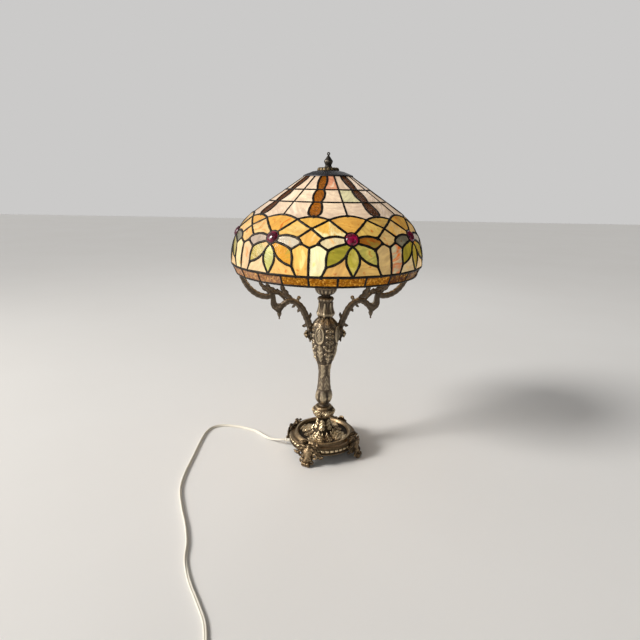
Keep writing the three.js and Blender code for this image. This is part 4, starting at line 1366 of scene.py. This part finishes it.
# ------------------------------------------------------------------ lampholders and bulbs
frosted = Finish("frosted_bulb", Roughness=0.4)
filament = frosted.noise(18, 2).ranged(0.3, 0.7)
frosted.set(Base_Color=frosted.mix(filament, (250, 244, 230), (255, 250, 240)),
            Emission_Color=frosted.mix(filament, (255, 228, 190), (255, 240, 214)),
            Emission_Strength=filament.ranged(0.0, 1.0, 6.0, 8.0))
HOLDER = [(0, 22), (4.6, 22), (4.8, 29),
          *eased([(11.5, 32), (14.0, 36), (13.9, 47), (14.3, 60), (14.3, 67.4)]),
          (12.9, 68), (12.9, 50), (0, 50)]
BULB = [(0, 51), (11.6, 52.3), *eased([(11.8, 68), (13.4, 76), (18, 85), (21.6, 94), (22.3, 102), (19.6, 112),
                                       (12.2, 119.8), (5, 122.6)]), (0, 123)]


def holder_relief(a, r, z):
    return 0.45 * flutes(a, 14) * swell(z, 40.5, 5) - 0.5 * swell(z, 55, 1.4)


for number, azimuth in enumerate(BULBS, 1):
    place = facing(UP * HUB_HEIGHT, polar(azimuth, math.cos(BULB_RISE), math.sin(BULB_RISE)))
    holder, bulb = Build(), Build()
    turned(holder, HOLDER, 56, place, step=1.3, relief=holder_relief)
    holder.piece(f"holder_{number}", "lamp_body", white_plastic, "white_plastic", 40, f"lampholder_{number}")
    turned(bulb, BULB, 48, place, step=1.6)
    bulb.piece(f"bulb_glass_{number}", "lamp_body", frosted, "bulb_glass", 0, f"bulb_{number}")

# ------------------------------------------------------------------ strain relief
SLEEVE_START, SLEEVE_END, SLEEVE_RINGS = 60.0, 92.4, 25
out, _, spot = radial(GLAND_ANGLE)
sleeve = Build()
outline = []
for i in range(SLEEVE_RINGS + 1):
    r = SLEEVE_START + (SLEEVE_END - SLEEVE_START) * i / SLEEVE_RINGS
    groove = 0.9 if i % 3 == 2 and i > 6 else 0.0
    outline.append((np.interp(r, [60, 74, 80, 92.4], [5.9, 5.7, 5.0, 3.9]) - groove, r))
turned(sleeve, [(0, SLEEVE_START), *outline, (0, SLEEVE_END)], 28, facing(UP * GLAND_HEIGHT, out))
slab(sleeve, spot, [(58.4, 20.6), (65.6, 20.6), (65.6, 26.6), (58.4, 26.6)], 8.4, 0.8)
sleeve.piece("strain_relief", "lamp_body", pvc, "cord_white", 40, "cord_gland")


# ------------------------------------------------------------------ switch and plug
def rounded(outline, corner=5.0, steps=4):
    """The outline with each corner rounded off."""
    made = []
    outline = [Vector(p) for p in outline]
    for before, (p, after) in zip([outline[-1], *outline], pairs(outline)):
        a, b = (p + (end - p).normalized() * min(corner, (end - p).length * 0.45) for end in (before, after))
        for k in range(steps + 1):
            t = k / steps
            made.append(a * (1 - t) ** 2 + p * (2 * t * (1 - t)) + b * t ** 2)
    return made


def moulding(build, middle, near, layers, well=None):
    """A moulded box. Its plan is the near half given and the like of it, pulled in at each (height, inset)
    layer. well is (half length, half width, floor) of a pocket in its top."""
    outline = rounded([*near, *[(x, -y) for x, y in reversed(near)]])
    n = len(outline)
    verts = [middle + (p - p.normalized() * inset).to_3d() + UP * z for z, inset in layers for p in outline]
    if well:
        half_length, half_width, bottom = well
        for z in (layers[-1][0], bottom):
            for p in outline:
                k = min(half_length / max(abs(p.x), 1e-6), half_width / max(abs(p.y), 1e-6))
                verts.append(middle + (p * k).to_3d() + UP * z)
    faces = [tuple(reversed(range(n)))]
    for start in range(0, len(verts) - n, n):
        faces += [(start + i, start + j, start + n + j, start + n + i) for i, j in pairs(range(n))]
    faces.append(tuple(range(len(verts) - n, len(verts))))
    build.add(verts, faces)


case, rocker = Build(), Build()
moulding(case, SWITCH, [(-30.6, -4.6), (-22.8, -11.7), (22.8, -11.7), (30.6, -4.6)],
         [(-7.2, 1.6), (-6.2, 0.4), (-0.5, 0.0), (-0.3, 0.7), (0.3, 0.7), (0.5, 0.0), (5.4, 0.5), (6.7, 1.2),
          (7.2, 2.4)],
         (10.8, 6.0, -0.4))
case.piece("switch_case", "lamp_body", white_plastic, "white_plastic", 35, "switch_body")
ROCKER = [(-9.9, 2.4), (-6, 2.2), (-1.5, 1.7), (1.5, 2.2), (6, 4.1), (9.2, 5.1), (9.0, 1), (8.6, -1.5),
          (4, -3.3), (-4, -3.3), (-8.8, -2.9), (-9.6, 0)]
RIB = [(-0.35, 1.5), (0.35, 1.5), (0.3, 2.0), (-0.3, 2.0)]
pivot = SWITCH + UP * 5.4


def on_rocker(r, w, z):
    return pivot + Vector((r, w, z))


slab(rocker, on_rocker, ROCKER, 10.8, 0.5)
for x in (4.0, 5.5, 7.0, 8.5):
    slab(rocker, on_rocker, [(x + r, z + 0.36 * x) for r, z in RIB], 8.0, 0.2)
rocker.piece("switch_tip", "rocker", black_plastic, "black_plastic", 35, "switch_rocker")

plug_body, pins = Build(), Build()
moulding(plug_body, PLUG + Vector((17.5, 0, 0)), [(-17.3, -3.8), (-8.5, -6.3), (6.5, -12.8), (17.3, -12.8)],
         [(-6.8, 2.2), (-5.8, 0.6), (-3.6, 0.0), (3.6, 0.0), (5.8, 0.6), (6.8, 2.2)])
plug_body.piece("plug_body", "lamp_body", white_plastic, "white_plastic", 35, "plug")
PIN = [(0, 0), (1.9, 0), (1.9, 9.4), (2.0, 9.6), (2.0, 17.6), (1.5, 18.9), (0.8, 19.4), (0, 19.5)]
for y in (-9.5, 9.5):
    turned(pins, PIN, 20,
           Matrix.Translation(PLUG + Vector((34.4, y, 0))) @ Matrix.Rotation(math.pi / 2, 4, "Y"))
pins.piece("plug_pins", "lamp_body", steel, "steel", 35, "plug")

tie = Build()
TIE = [(33, 7.1), (36, 7.3), (39.2, 7.0), (41.8, 4.4), (42.9, 2.0), (42.2, 0.6), (39, 0.34), (36, 0.34),
       (33, 0.34), (29.8, 0.6), (29.0, 2.0), (30.2, 4.4), (32.8, 7.3), (36, 7.8), (39.4, 7.5), (40.6, 6.4)]
tie_line = resampled(spline([COIL + Vector((r, 0, z)) for r, z in TIE], 5), 1.0)
tie_middle = COIL + Vector((35.9, 0, 3.7))
swept(tie, tie_line, [(p - tie_middle).normalized() for p in tie_line], oval(2.5, 0.3, 12))
tie.piece("cord_tie", "lamp_body", black_plastic, "black_plastic", 40)

# ------------------------------------------------------------------ parts that keep their plain shape
for name in ("tie_rod", "top_stud", "base_plate", "rod_nut", "lock_washer"):
    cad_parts[name].material_slots[0].material = steel.material
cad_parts["shade_seat"].material_slots[0].material = bright.material

# ------------------------------------------------------------------ end
tuple(x * MM for x in route[0])
[tuple(p * MM) for p in flex_line]
